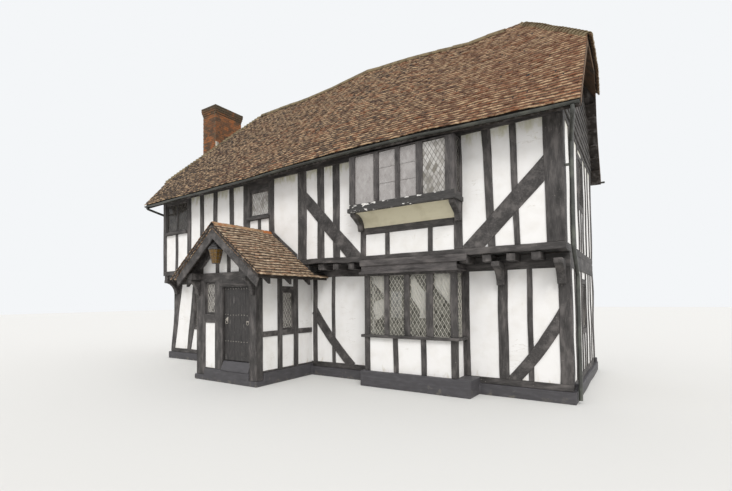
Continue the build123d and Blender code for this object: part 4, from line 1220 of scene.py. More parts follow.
@dataclass
class Slope:
    """One plane of plain tiling: where it starts, its two directions and the planes that trim it."""
    foot: Vector
    along: Vector
    up: Vector
    run: float
    rise: float
    trims: list[tuple[Vector, Vector]]
    gauge: float = 0.1
    wide: float = 0.165
    long: float = 0.2
    thick: float = 0.018
    camber: float = 0.006
    proud: float = 0.028
    wave: float = 0.010
    start: float = 0.025
    loose: float = 0.65
    cover: float = 0.975
    bearing: float = 0.265
    strays: float = 0.004
    turned: float = 0.021
    tipped: float = 0.014
    rolled: float = 0.028
    uneven: float = 0.007
    beyond: float = 0.12
    skip: tuple[float, float, float, float] | None = None

    def tile(self) -> bmesh.types.BMesh:
        """One cambered tile, with its tail at the origin.

        Returns:
            The open shape, which knows how far along the tile each point is.
        """
        shape = bmesh.new()
        bmesh.ops.create_grid(shape, x_segments=2, y_segments=1, size=0.5)
        bmesh.ops.scale(shape, vec=(self.wide * self.cover, self.long, 1.0), verts=shape.verts)
        bmesh.ops.translate(shape, vec=(0.0, self.long / 2, 0.0), verts=shape.verts)
        crown = [v for v in shape.verts if abs(v.co.x) < 1e-4]
        bmesh.ops.translate(shape, vec=(0.0, 0.0, self.camber), verts=crown)
        grown = bmesh.ops.extrude_face_region(shape, geom=list(shape.faces))
        lower = [g for g in grown["geom"] if isinstance(g, bmesh.types.BMVert)]
        bmesh.ops.translate(shape, vec=(0.0, 0.0, -self.thick), verts=lower)
        bmesh.ops.recalc_face_normals(shape, faces=shape.faces)
        along = shape.verts.layers.float.new("along")
        for vertex in shape.verts:
            vertex[along] = vertex.co.y / self.long
        return shape

    def places(self, rng: random.Random) -> list[Matrix]:
        """Where each tile lies, bonded by half a tile, each a little out of true.

        Args:
            rng: draws how far each tile strays.

        Returns:
            A place for each tile that is inside the trims and outside the skipped rectangle.
        """
        out = self.along.cross(self.up).normalized()
        level = axes(self.along, self.up, out)
        tilt = math.atan2(self.proud, self.bearing)
        found = []
        for course in range(-1, int(self.rise / self.gauge) + 1):
            for count in range(-1, int(self.run / self.wide) + 2):
                s = (count + 0.5 * (course % 2)) * self.wide
                bow = noise.noise(Vector((s * 0.9, course * 0.35, 7.0))) * self.wave
                t = course * self.gauge + self.start + bow + rng.gauss(0.0, self.strays)
                at = self.foot + self.along * s + self.up * t
                if any((at - point).dot(away) > self.beyond for point, away in self.trims):
                    continue
                if self.skip and self.skip[0] < at.x < self.skip[1] and self.skip[2] < at.y < self.skip[3]:
                    continue
                turn = Matrix.Rotation(rng.gauss(0.0, self.turned) * self.loose, 4, "Z") @ \
                    Matrix.Rotation(-tilt + rng.gauss(0.0, self.tipped) * self.loose, 4, "X") @ \
                    Matrix.Rotation(rng.gauss(0.0, self.rolled) * self.loose, 4, "Y")
                lift = self.proud + self.thick + rng.random() * self.uneven
                found.append(Matrix.Translation(at + out * lift) @ level @ turn)
        return found

    def build(self, seed: int) -> bmesh.types.BMesh:
        """Lays the whole slope and trims it.

        Args:
            seed: the start of its random draws.

        Returns:
            The tiles in one open shape.
        """
        rng = random.Random(seed)
        laid = lay(self.tile(), self.places(rng), rng)
        trim(laid, self.trims)
        return laid


@dataclass
class MainRoof:
    """The tiled slopes, half-hips, bonnets and ridges of the house.

    A half-round's size is the radius of its tail, the radius of its head and its length.
    """
    deck_along: float = 0.35
    deck_inward: float = 0.6
    spread: float = 0.05
    stack_gap: tuple[float, float, float, float] = (-7.0, -6.13, -0.40, 0.95)
    clay: float = 0.016
    lip: float = -0.01
    bonnet_size: tuple[float, float, float] = (0.11, 0.075, 0.24)
    bonnet_pitch: float = 0.115
    bonnet_first: float = 0.09
    bonnet_sink: float = 0.03
    bonnet_tilt: float = math.radians(7)
    ridge_size: tuple[float, float, float] = (0.128, 0.122, 0.445)
    ridge_joint: float = 0.006
    ridge_sink: float = 0.045
    porch_radii: tuple[float, float] = (0.116, 0.111)
    porch_ridge_x: float = -1.13
    porch_ridge_start: float = 0.02
    porch_ridge_end: float = -2.42
    porch_ridge_tiles: int = 6
    porch_joint: float = 0.005
    bars: int = 6
    bar_half: tuple[float, float, float] = (0.15, 0.025, 0.038)
    bar_x: float = 6.34
    bar_first: float = 0.30
    bar_pitch: float = 0.37
    bar_sink: float = 0.137

    def normal(self, side: Side) -> Vector:
        """The outward direction of one of the four planes of the roof.

        Args:
            side: the plane.

        Returns:
            A direction of unit length.
        """
        rise = RIDGE_Z - EAVE_Z
        if side is Side.FRONT:
            return Vector((0.0, -rise, EAVE_Y)).normalized()
        if side is Side.REAR:
            return Vector((0.0, rise, EAVE_Y)).normalized()
        if side is Side.LEFT:
            return Vector((-(RIDGE_Z - HIP_FOOT_LEFT), 0.0, RIDGE_LEFT - VERGE_LEFT)).normalized()
        return Vector((RIDGE_Z - HIP_FOOT_RIGHT, 0.0, VERGE_RIGHT - RIDGE_RIGHT)).normalized()

    def deck(self) -> None:
        """Boards under the tiles, which follow the sagged lines, bedded in mortar above and at the ends."""
        for node in ("roof_front", "roof_rear", "half_hips"):
            shape = cad_copy(node)
            slice_up(shape, self.deck_along, "X")
            slice_up(shape, self.deck_inward, "Y")
            for face in shape.faces:
                face.material_index = int(face.normal.z > 0.3 or abs(face.normal.x) > 0.7)
            SWAY.apply(shape)
            piece(f"{node}_deck", shape, [OAK_SOFFIT, VERGE_MORTAR], replaces=(node,))

    def tiles(self) -> None:
        """Four fields of tiles."""
        ridge = Vector((0.0, 0.0, RIDGE_Z))
        left, right = Vector((RIDGE_LEFT, 0.0, RIDGE_Z)), Vector((RIDGE_RIGHT, 0.0, RIDGE_Z))
        ends = [(Vector((VERGE_LEFT, 0.0, 0.0)), Vector((-1.0, 0.0, 0.0))),
                (Vector((VERGE_RIGHT, 0.0, 0.0)), Vector((1.0, 0.0, 0.0)))]
        hips = [(top + self.normal(side) * self.spread, self.normal(side))
                for top, side in ((left, Side.LEFT), (right, Side.RIGHT))]
        for side, sign in ((Side.FRONT, -1), (Side.REAR, 1)):
            up = Vector((0.0, -sign * EAVE_Y, RIDGE_Z - EAVE_Z))
            start = VERGE_LEFT if sign < 0 else VERGE_RIGHT
            field = Slope(foot=Vector((start, sign * EAVE_Y, EAVE_Z)), along=Vector((-sign, 0.0, 0.0)),
                          up=up.normalized(), run=VERGE_RIGHT - VERGE_LEFT, rise=up.length,
                          trims=[*ends, *hips, (ridge, Vector((0.0, -sign, 0.0)))])
            shape = field.build(11 if sign < 0 else 12)
            SWAY.apply(shape)
            piece(f"{side.value}_slope_tiles", shape, [TILE if sign < 0 else MOSSY_TILE])
        self.hip_tiles(left, VERGE_LEFT, HIP_FOOT_LEFT, Side.LEFT, 13)
        self.hip_tiles(right, VERGE_RIGHT, HIP_FOOT_RIGHT, Side.RIGHT, 14)

    def hip_tiles(self, top: Vector, verge: float, foot_z: float, side: Side, seed: int) -> None:
        """One half-hip's tiles, trimmed by the two slopes and left out behind the stack.

        Args:
            top: the end of the ridge.
            verge: where the half-hip's foot is along X.
            foot_z: how high its foot is.
            side: which end of the house it is at.
            seed: the start of its random draws.
        """
        sign = -1.0 if side is Side.LEFT else 1.0
        up = Vector((top.x - verge, 0.0, RIDGE_Z - foot_z))
        wide = EAVE_Y * (RIDGE_Z - foot_z) / (RIDGE_Z - EAVE_Z)
        planes = [(top + self.normal(s) * self.spread, self.normal(s)) for s in (Side.FRONT, Side.REAR)]
        field = Slope(foot=Vector((verge, -sign * wide, foot_z)), along=Vector((0.0, sign, 0.0)),
                      up=up.normalized(), run=2 * wide, rise=up.length, trims=planes, skip=self.stack_gap)
        shape = field.build(seed)
        SWAY.apply(shape)
        piece(f"{side.value}_hip_tiles", shape, [MOSSY_TILE])

    def half_round(self, radius: float, far: float, length: float, arc: float) -> bmesh.types.BMesh:
        """A clay half-round tile along X.

        Args:
            radius: the outer radius of its tail.
            far: the outer radius of its head.
            length: how long it is.
            arc: the height below which it is cut off.

        Returns:
            The open shape.
        """
        shape = bmesh.new()
        bmesh.ops.create_cone(shape, cap_ends=False, segments=20, radius1=radius, radius2=far, depth=length)
        bmesh.ops.rotate(shape, verts=shape.verts, matrix=Matrix.Rotation(math.radians(90), 3, "Y"))
        bmesh.ops.bisect_plane(shape, geom=everything(shape), dist=WELD, plane_co=(0.0, 0.0, arc),
                               plane_no=(0.0, 0.0, -1.0), clear_outer=True)
        bmesh.ops.recalc_face_normals(shape, faces=shape.faces)
        if max(shape.faces, key=lambda f: f.calc_center_median().z).normal.z < 0:
            bmesh.ops.reverse_faces(shape, faces=shape.faces)
        bmesh.ops.solidify(shape, geom=list(shape.faces), thickness=self.clay)
        return shape

    def bonnets(self) -> None:
        """Bonnet tiles that climb each hip, each lapping the one below."""
        places = []
        rng = random.Random(21)
        for verge, top_x, foot_z in ((VERGE_LEFT, RIDGE_LEFT, HIP_FOOT_LEFT),
                                     (VERGE_RIGHT, RIDGE_RIGHT, HIP_FOOT_RIGHT)):
            wide = EAVE_Y * (RIDGE_Z - foot_z) / (RIDGE_Z - EAVE_Z)
            for sign in (-1.0, 1.0):
                low = Vector((verge, sign * wide, foot_z))
                line = Vector((top_x, 0.0, RIDGE_Z)) - low
                ahead = line.normalized()
                side = ahead.cross(UP).normalized()
                over = side.cross(ahead).normalized()
                level = axes(ahead, side, over)
                if level.determinant() < 0:
                    level = axes(ahead, -side, over)
                for count in range(int(line.length / self.bonnet_pitch)):
                    far = self.bonnet_first + count * self.bonnet_pitch
                    at = low + ahead * far - over * self.bonnet_sink
                    turn = Matrix.Rotation(self.bonnet_tilt + rng.gauss(0.0, 0.02), 4, "Y") @ \
                        Matrix.Rotation(rng.gauss(0.0, 0.03), 4, "X")
                    places.append(Matrix.Translation(at) @ level @ turn)
        laid = lay(self.half_round(*self.bonnet_size, 0.0), places, rng)
        SWAY.apply(laid)
        piece("hip_bonnets", laid, [RIDGE_CLAY], replaces=("hip_tiles",))

    def ridge(self) -> None:
        """Half-round ridge tiles of both roofs; the last one of the porch is a new one."""
        rng = random.Random(22)
        pitch = self.ridge_size[2] + self.ridge_joint
        count = int((RIDGE_RIGHT - RIDGE_LEFT) / pitch)
        places = [Matrix.Translation((RIDGE_LEFT + (i + 0.5) * pitch, 0.0, RIDGE_Z - self.ridge_sink)) @
                  Matrix.Rotation(rng.gauss(0.0, 0.02), 4, "X") @
                  Matrix.Rotation(rng.gauss(0.0, 0.012), 4, "Y") for i in range(count)]
        laid = lay(self.half_round(*self.ridge_size, self.lip), places, rng)
        SWAY.apply(laid)
        low, high = box("porch_roof_left")[0], box("porch_roof_right")[1]
        start, end = low.y + self.porch_ridge_start, self.porch_ridge_end
        each = (end - start) / self.porch_ridge_tiles
        z = high.z - self.ridge_sink
        turned = Matrix.Rotation(math.radians(90), 4, "Z")
        places = [Matrix.Translation((self.porch_ridge_x, start + (i + 0.5) * each, z)) @ turned @
                  Matrix.Rotation(rng.gauss(0.0, 0.02), 4, "X") for i in range(self.porch_ridge_tiles)]
        porch = lay(self.half_round(*self.porch_radii, each - self.porch_joint, self.lip), places, rng)
        for face in porch.faces:
            face.material_index = int(face.calc_center_median().y > end - each)
        piece("ridge_half_rounds", laid, [RIDGE_CLAY], replaces=("ridge_tiles",))
        piece("porch_half_rounds", porch, [PORCH_RIDGE, NEW_RIDGE])

    def ladder(self) -> None:
        """Bars that carry the verge beyond the right gable."""
        places = []
        for side, sign in ((Side.FRONT, -1.0), (Side.REAR, 1.0)):
            up = Vector((0.0, -sign * EAVE_Y, RIDGE_Z - EAVE_Z)).normalized()
            out = self.normal(side)
            level = axes(Vector((-sign, 0.0, 0.0)), up, out)
            for count in range(self.bars):
                at = Vector((self.bar_x, sign * EAVE_Y, EAVE_Z))
                at = at + up * (self.bar_first + count * self.bar_pitch) - out * self.bar_sink
                places.append(Matrix.Translation(at) @ level)
        half = Vector(self.bar_half)
        shape = lay(block(-half, half, 0.004), places, random.Random(23))
        SWAY.apply(shape)
        piece("verge_ladder", shape, [OAK_SOFFIT])

    def build(self) -> None:
        """Makes the verge's bars, the deck, the tiles, the bonnets and the ridges."""
        self.ladder()
        self.deck()
        self.tiles()
        self.bonnets()
        self.ridge()


@dataclass
class PorchRoof:
    """The porch's two small slopes of tiles, whose lowest courses run on under the jetty."""
    ridge_x: float = -1.13
    ridge_z: float = 3.76
    eave_z: float = 2.52
    half: float = 1.57
    front: float = -4.258
    back: float = -2.43
    wall: float = -1.935
    jetty_z: float = 2.60
    joist_z: float = 2.668
    gauge: float = 0.112
    layers: int = 4
    layer_up: float = 0.012
    layer_down: float = 0.025
    layer_back: float = 0.003
    end_low: tuple[float, float, float] = (-0.055, 0.0, -0.009)
    end_high: tuple[float, float, float] = (0.055, 0.15, 0.009)
    end_tilt: float = -0.10
    bow: float = 0.020

    def field(self, sign: float) -> Slope:
        """One slope, from the eave to the ridge.

        Args:
            sign: -1 for the left slope, 1 for the right one.

        Returns:
            The slope, trimmed at the front, at the wall and at the ridge.
        """
        up = Vector((-sign * self.half, 0.0, self.ridge_z - self.eave_z))
        foot = Vector((self.ridge_x + sign * self.half, self.front if sign > 0 else self.wall, self.eave_z))
        trims = [(Vector((0.0, self.front, 0.0)), Vector((0.0, -1.0, 0.0))),
                 (Vector((0.0, self.wall, 0.0)), Vector((0.0, 1.0, 0.0))),
                 (Vector((self.ridge_x, 0.0, 0.0)), Vector((-sign, 0.0, 0.0)))]
        return Slope(foot=foot, along=Vector((0.0, sign, 0.0)), up=up.normalized(),
                     run=self.wall - self.front, rise=up.length, trims=trims, gauge=self.gauge,
                     thick=0.024, proud=0.036, wave=0.016, start=0.06, loose=0.5)

    def verge(self, slope: Slope, rng: random.Random) -> bmesh.types.BMesh:
        """The stepped ends of the tiles under each course, which stand out over the bargeboard.

        Args:
            slope: the slope that they belong to.
            rng: draws how far each end strays.

        Returns:
            The ends in one open shape.
        """
        out = slope.along.cross(slope.up).normalized()
        level = axes(slope.along, slope.up, out)
        places = []
        for course in range(int(slope.rise / slope.gauge)):
            for layer in range(self.layers):
                at = slope.foot + slope.up * (course * slope.gauge + 0.015 + layer * self.layer_up)
                at += out * (0.024 - layer * self.layer_down)
                at.y = self.front + 0.056 + rng.random() * 0.010 + layer * self.layer_back
                turn = Matrix.Rotation(self.end_tilt + rng.gauss(0.0, 0.03), 4, "X")
                places.append(Matrix.Translation(at) @ level @ turn)
        shape = block(self.end_low, self.end_high)
        # Along runs from 0 to 0.5 up each end, so the tile finish paints the lower part pale (partly a
        # painted highlight) and the upper part dark with painted shadow.
        along = shape.verts.layers.float.new("along")
        for vertex in shape.verts:
            vertex[along] = vertex.co.y / (2 * self.end_high[1])
        return lay(shape, places, rng)

    def build(self) -> None:
        """Lays both slopes: the upper courses stop at the house wall, the lower ones under the jetty."""
        for sign, node in ((-1.0, "porch_roof_left"), (1.0, "porch_roof_right")):
            slope = self.field(sign)
            rng = random.Random(31 if sign > 0 else 32)
            places = slope.places(rng)
            upper = lay(slope.tile(), [m for m in places if m.translation.z > self.jetty_z], rng)
            house = Vector((0.0, self.back, 0.0))
            trim(upper, [*slope.trims, (house, Vector((0.0, 1.0, 0.0)))])
            lower = lay(slope.tile(), [m for m in places if m.translation.z <= self.jetty_z], rng)
            trim(lower, slope.trims)
            beneath = lower.copy()
            trim(beneath, [(house, Vector((0.0, -1.0, 0.0))), (Vector((0.0, 0.0, self.joist_z)), UP)])
            trim(lower, [(house, Vector((0.0, 1.0, 0.0)))])
            shape = join([upper, lower, beneath, self.verge(slope, rng)])
            for vertex in shape.verts:
                vertex.co.z += noise.noise(vertex.co * 1.6) * self.bow
            piece(f"{node}_tiles", shape, [PORCH_TILE])
            dress(node, OAK_SOFFIT)


@dataclass
class Chimney:
    """The brick stack: mortar core from the solids, with a brick for every place in the bond."""
    low: tuple[float, float] = (-6.94, -0.33)
    high: tuple[float, float] = (-6.18, 0.88)
    course: float = 0.075
    joint: float = 0.010
    deep: float = 0.105
    proud: float = 0.005
    length: float = 0.225
    worn: float = 0.005
    top: float = 9.17
    clear_of_roof: float = 6.3
    corbels: tuple[float, ...] = (0.017, 0.035, 0.05, 0.05)
    fillets: tuple[tuple[tuple[float, float, float], tuple[float, float, float]], ...] = (
        ((-6.186, -0.340, 7.84), (-6.166, -0.20, 8.06)), ((-6.184, -0.22, 7.80), (-6.168, -0.10, 7.93)))

    def brick(self) -> bmesh.types.BMesh:
        """One brick of unit length along X.

        Returns:
            The open shape, worn at its edges.
        """
        shape = bmesh.new()
        size = Matrix.Diagonal((1.0, self.deep, self.course - self.joint, 1.0))
        bmesh.ops.create_cube(shape, size=1.0, matrix=size)
        soften(shape, self.worn)
        return shape

    def face(self, start: Vector, end: Vector, inward: Vector, rng: random.Random) -> list[Matrix]:
        """Bricks in a straight row from one point to another.

        Args:
            start: where the row starts, on the stack's face.
            end: where it ends.
            inward: the level direction into the stack.
            rng: draws how far each brick strays.

        Returns:
            A place for each brick.
        """
        whole = (end - start).length
        count = max(1, round(whole / self.length))
        pitch = whole / count
        along = (end - start).normalized()
        level = axes(along, inward, along.cross(inward))
        if level.determinant() < 0:
            level = axes(along, -inward, UP)
        found = []
        for number in range(count):
            out = self.proud + rng.gauss(0.0, 0.0012)
            at = start + along * (pitch * (number + 0.5)) + inward * (self.deep / 2 - out)
            turn = Matrix.Rotation(rng.gauss(0.0, 0.006), 4, "Z")
            size = Matrix.Diagonal((pitch - self.joint, 1, 1, 1))
            found.append(Matrix.Translation(at) @ level @ turn @ size)
        return found

    def ring(self, z: float, grow: float, odd: bool, inner_side: bool, rng: random.Random) -> list[Matrix]:
        """One course round the stack, its corners lapped the other way in each next course.

        Args:
            z: the height of the course's middle.
            grow: metres that it stands out past the stack.
            odd: which way its corners are lapped.
            inner_side: whether it has bricks on the side of the roof too.
            rng: draws how far each brick strays.

        Returns:
            A place for each brick.
        """
        x0, y0 = self.low[0] - grow, self.low[1] - grow
        x1, y1 = self.high[0] + grow, self.high[1] + grow
        a = -self.joint / 2 - self.proud if odd else self.deep + self.joint / 2
        b = self.deep - a
        rows = [(Vector((x0, y0 + b, z)), Vector((x0, y1 - b, z)), Vector((1.0, 0.0, 0.0))),
                (Vector((x0 + a, y0, z)), Vector((x1 - a, y0, z)), Vector((0.0, 1.0, 0.0))),
                (Vector((x0 + a, y1, z)), Vector((x1 - a, y1, z)), Vector((0.0, -1.0, 0.0)))]
        if inner_side:
            rows.append((Vector((x1, y0 + b, z)), Vector((x1, y1 - b, z)), Vector((-1.0, 0.0, 0.0))))
        return [place for start, end, inward in rows for place in self.face(start, end, inward, rng)]

    def build(self) -> None:
        """Lays the stack and its corbelled head."""
        rng = random.Random(41)
        places = []
        count = int(self.top / self.course)
        for number in range(count):
            z = (number + 0.5) * self.course
            places += self.ring(z, 0.0, number % 2 == 0, z > self.clear_of_roof, rng)
        stack = lay(self.brick(), places, rng)
        piece("stack_bricks", stack, [BRICK])
        places = []
        for number, grow in enumerate(self.corbels):
            z = self.top + (number + 0.5) * self.course
            places += self.ring(z, grow, number % 2 == 1, True, rng)
        piece("cap_bricks", lay(self.brick(), places, rng), [BRICK])
        patch = join([block(low, high, 0.006) for low, high in self.fillets])
        piece("stack_fillet", patch, [LIME])
        dress("chimney_stack", MORTAR)
        dress("chimney_cap", MORTAR)


@dataclass
class LeadedLights:
    """Diamond quarries in lead cames, one lattice for every pane of the solids."""
    wide: float = 0.090
    tall: float = 0.148
    came: float = 0.0080
    tip: float = 0.012
    oriel_rise: float = 0.045
    oriel_low: float = 3.9
    oriel_wall: float = -2.4
    oriel_return: float = -2.65
    last_light: float = 3.6
    bay_high: float = 3.0
    bay_wall: float = -1.9
    right_from: float = 1.0
    upper_low: float = 3.4
    left_to: float = -3.0
    barred_from: float = 2.4
    bar_shares: tuple[float, float] = (0.36, 0.68)
    bar_half: float = 0.0035
    bar_back: float = 0.004
    bar_front: float = 0.012

    def panes(self) -> list[tuple[Vector, Vector]]:
        """Finds the panes, the oriel's with the height that its head has gained.

        Returns:
            The lowest and highest corner of each pane, in order of place.
        """
        shape = cad_copy("window_glass")
        left = set(shape.verts)
        found = []
        while left:
            todo = [left.pop()]
            group = list(todo)
            while todo:
                for edge in todo.pop().link_edges:
                    for vertex in edge.verts:
                        if vertex in left:
                            left.remove(vertex)
                            todo.append(vertex)
                            group.append(vertex)
            low = Vector(tuple(min(v.co[i] for v in group) for i in range(3)))
            high = Vector(tuple(max(v.co[i] for v in group) for i in range(3)))
            if self.kind((low + high) / 2) in (Light.ORIEL, Light.PATCHED, Light.RETURN):
                high.z += self.oriel_rise
            found.append((low, high))
        shape.free()
        return sorted(found, key=lambda p: tuple(round(c, 4) for c in p[0]))

    def lattice(self, size_s: float, size_z: float, wide: float, tall: float) -> bmesh.types.BMesh:
        """Diamonds that fill a pane centred on the origin, drawn in X and Y.

        Args:
            size_s: the pane's width.
            size_z: the pane's height.
            wide: the width of a diamond.
            tall: the height of a diamond.

        Returns:
            The diamonds as one flat open shape.
        """
        shape = bmesh.new()
        reach = 1.05 * (size_s / wide + size_z / tall)
        count = 2 * math.ceil(reach / 2)
        bmesh.ops.create_grid(shape, x_segments=count, y_segments=count, size=count / 2)
        bmesh.ops.rotate(shape, verts=shape.verts, matrix=Matrix.Rotation(math.radians(45), 3, "Z"))
        root = math.sqrt(2)
        bmesh.ops.scale(shape, vec=(wide / root, tall / root, 1.0), verts=shape.verts)
        for away, reach in (((1, 0, 0), size_s / 2), ((-1, 0, 0), size_s / 2),
                            ((0, 1, 0), size_z / 2), ((0, -1, 0), size_z / 2)):
            bmesh.ops.bisect_plane(shape, geom=everything(shape), dist=WELD,
                                   plane_co=Vector(away) * reach, plane_no=away, clear_outer=True)
        return shape

    def kind(self, middle: Vector) -> Light:
        """Tells which group a pane belongs to, by where it is.

        Args:
            middle: the middle of the pane.

        Returns:
            The group.
        """
        at_right = middle.x > self.right_from
        if middle.z > self.oriel_low and at_right and middle.y < self.oriel_wall:
            if middle.y > self.oriel_return:
                return Light.RETURN
            return Light.PATCHED if middle.x > self.last_light else Light.ORIEL
        if middle.z < self.bay_high and at_right and middle.y < self.bay_wall:
            return Light.BAY
        if middle.z > self.upper_low and middle.x < self.left_to:
            return Light.DARK
        if middle.z > self.upper_low and self.left_to < middle.x < 0.0 and middle.y < 0.0:
            return Light.SMALL
        return Light.OTHER

    def quarries(self, flat: bmesh.types.BMesh, rng: random.Random) -> bmesh.types.BMesh:
        """The quarries of one lattice, each tipped a little and with its own tone.

        Args:
            flat: the lattice, which is kept.
            rng: draws the tones and tips.

        Returns:
            The open shape.
        """
        glass = flat.copy()
        bmesh.ops.split_edges(glass, edges=glass.edges)
        layer = glass.faces.layers.float.new("tone")
        for face in glass.faces:
            face[layer] = rng.random()
            centre = face.calc_center_median()
            tip = Vector((rng.gauss(0.0, self.tip), rng.gauss(0.0, self.tip)))
            for vertex in face.verts:
                vertex.co.z += (vertex.co.xy - centre.xy).dot(tip)
        return glass

    def build(self) -> None:
        """Makes the quarries, the cames and the saddle bars of all panes."""
        rng = random.Random(51)
        groups = {
            Light.BAY: (BAY_GLASS, LEAD_PALE, self.came), Light.ORIEL: (ORIEL_GLASS, LEAD_DULL, 0.0055),
            Light.PATCHED: (PATCHED_GLASS, LEAD_DARK, 0.0095), Light.OTHER: (PORCH_GLASS, LEAD_PALE, 0.0065),
            Light.RETURN: (ROOM_SHADE_GLASS, LEAD_DARK, 0.006), Light.DARK: (ROOM_SHADE_GLASS, LEAD_DARK, 0.0055),
            Light.SMALL: (PATCHED_GLASS, LEAD_DARK, 0.008)}
        glazing = {kind: [] for kind in groups}
        cames = {kind: [] for kind in groups}
        stand = Matrix.Rotation(math.radians(90), 4, "X")
        bars = []
        for low, high in self.panes():
            middle = (low + high) / 2
            across = high - low
            faces_front = across.y < across.x
            size_s = across.x if faces_front else across.y
            kind = self.kind(middle)
            flat = self.lattice(size_s, across.z, self.wide, self.tall)
            turn = stand if faces_front else Matrix.Rotation(math.radians(90), 4, "Z") @ stand
            moved = SETTLING.shift(middle)
            place = Matrix.Translation(middle + moved) @ turn
            glass = self.quarries(flat, rng)
            bmesh.ops.transform(glass, matrix=place, verts=glass.verts)
            glazing[kind].append(glass)
            bmesh.ops.wireframe(flat, faces=flat.faces, thickness=groups[kind][2], offset=0.0,
                                use_replace=True, use_boundary=True, use_even_offset=True)
            bmesh.ops.transform(flat, matrix=place, verts=flat.verts)
            cames[kind].append(flat)
            if kind is Light.ORIEL and faces_front and middle.x > self.barred_from:
                for share in self.bar_shares:
                    z = low.z + across.z * share + moved.z
                    bars.append(block((low.x + moved.x, low.y - self.bar_front, z - self.bar_half),
                                      (high.x + moved.x, low.y - self.bar_back, z + self.bar_half)))
        for kind, (glass, lead, _) in groups.items():
            piece(f"{kind.value}_quarries", join(glazing[kind]), [glass],
                  replaces=("window_glass",) if kind is Light.BAY else ())
            piece(f"{kind.value}_cames", join(cames[kind]), [lead])
        piece("saddle_bars", join(bars), [LEAD_DULL])


@dataclass
class Rainwater:
    """Gutters that follow the eaves, with a collar at each joint, and the pipes."""
    joint: float = 1.83
    first: float = 0.9
    cell: float = 0.4
    inset: float = 0.05
    collar_radius: float = 0.058
    collar_length: float = 0.055
    collar_wall: float = 0.008
    rise: float = 0.028
    slim: float = 0.8

    def build(self) -> None:
        """Makes the gutters and finishes the pipes."""
        shape = cad_copy("gutters")
        slice_up(shape, self.cell, "X")
        low, high = box("gutters")
        collars = []
        for side in (low.y + self.inset, high.y - self.inset):
            for count in range(int((high.x - low.x) / self.joint)):
                x = low.x + self.first + count * self.joint
                collar = bmesh.new()
                bmesh.ops.create_cone(collar, cap_ends=False, segments=20, radius1=self.collar_radius,
                                      radius2=self.collar_radius, depth=self.collar_length)
                bmesh.ops.rotate(collar, verts=collar.verts, matrix=Matrix.Rotation(math.radians(90), 3, "Y"))
                bmesh.ops.bisect_plane(collar, geom=everything(collar), dist=WELD, plane_co=(0, 0, 0),
                                       plane_no=(0, 0, 1), clear_outer=True)
                bmesh.ops.solidify(collar, geom=list(collar.faces), thickness=self.collar_wall)
                bmesh.ops.translate(collar, verts=collar.verts, vec=(x, side, high.z))
                collars.append(collar)
        shape = join([shape, *collars])
        for vertex in shape.verts:
            vertex.co.z = high.z + (vertex.co.z - high.z) * self.slim + self.rise
            vertex.co.z += SWAY.between(SWAY.eave, vertex.co.x)
        piece("eaves_gutters", shape, [RAIN_IRON], replaces=("gutters",))
        dress("downpipes", RAIN_IRON)


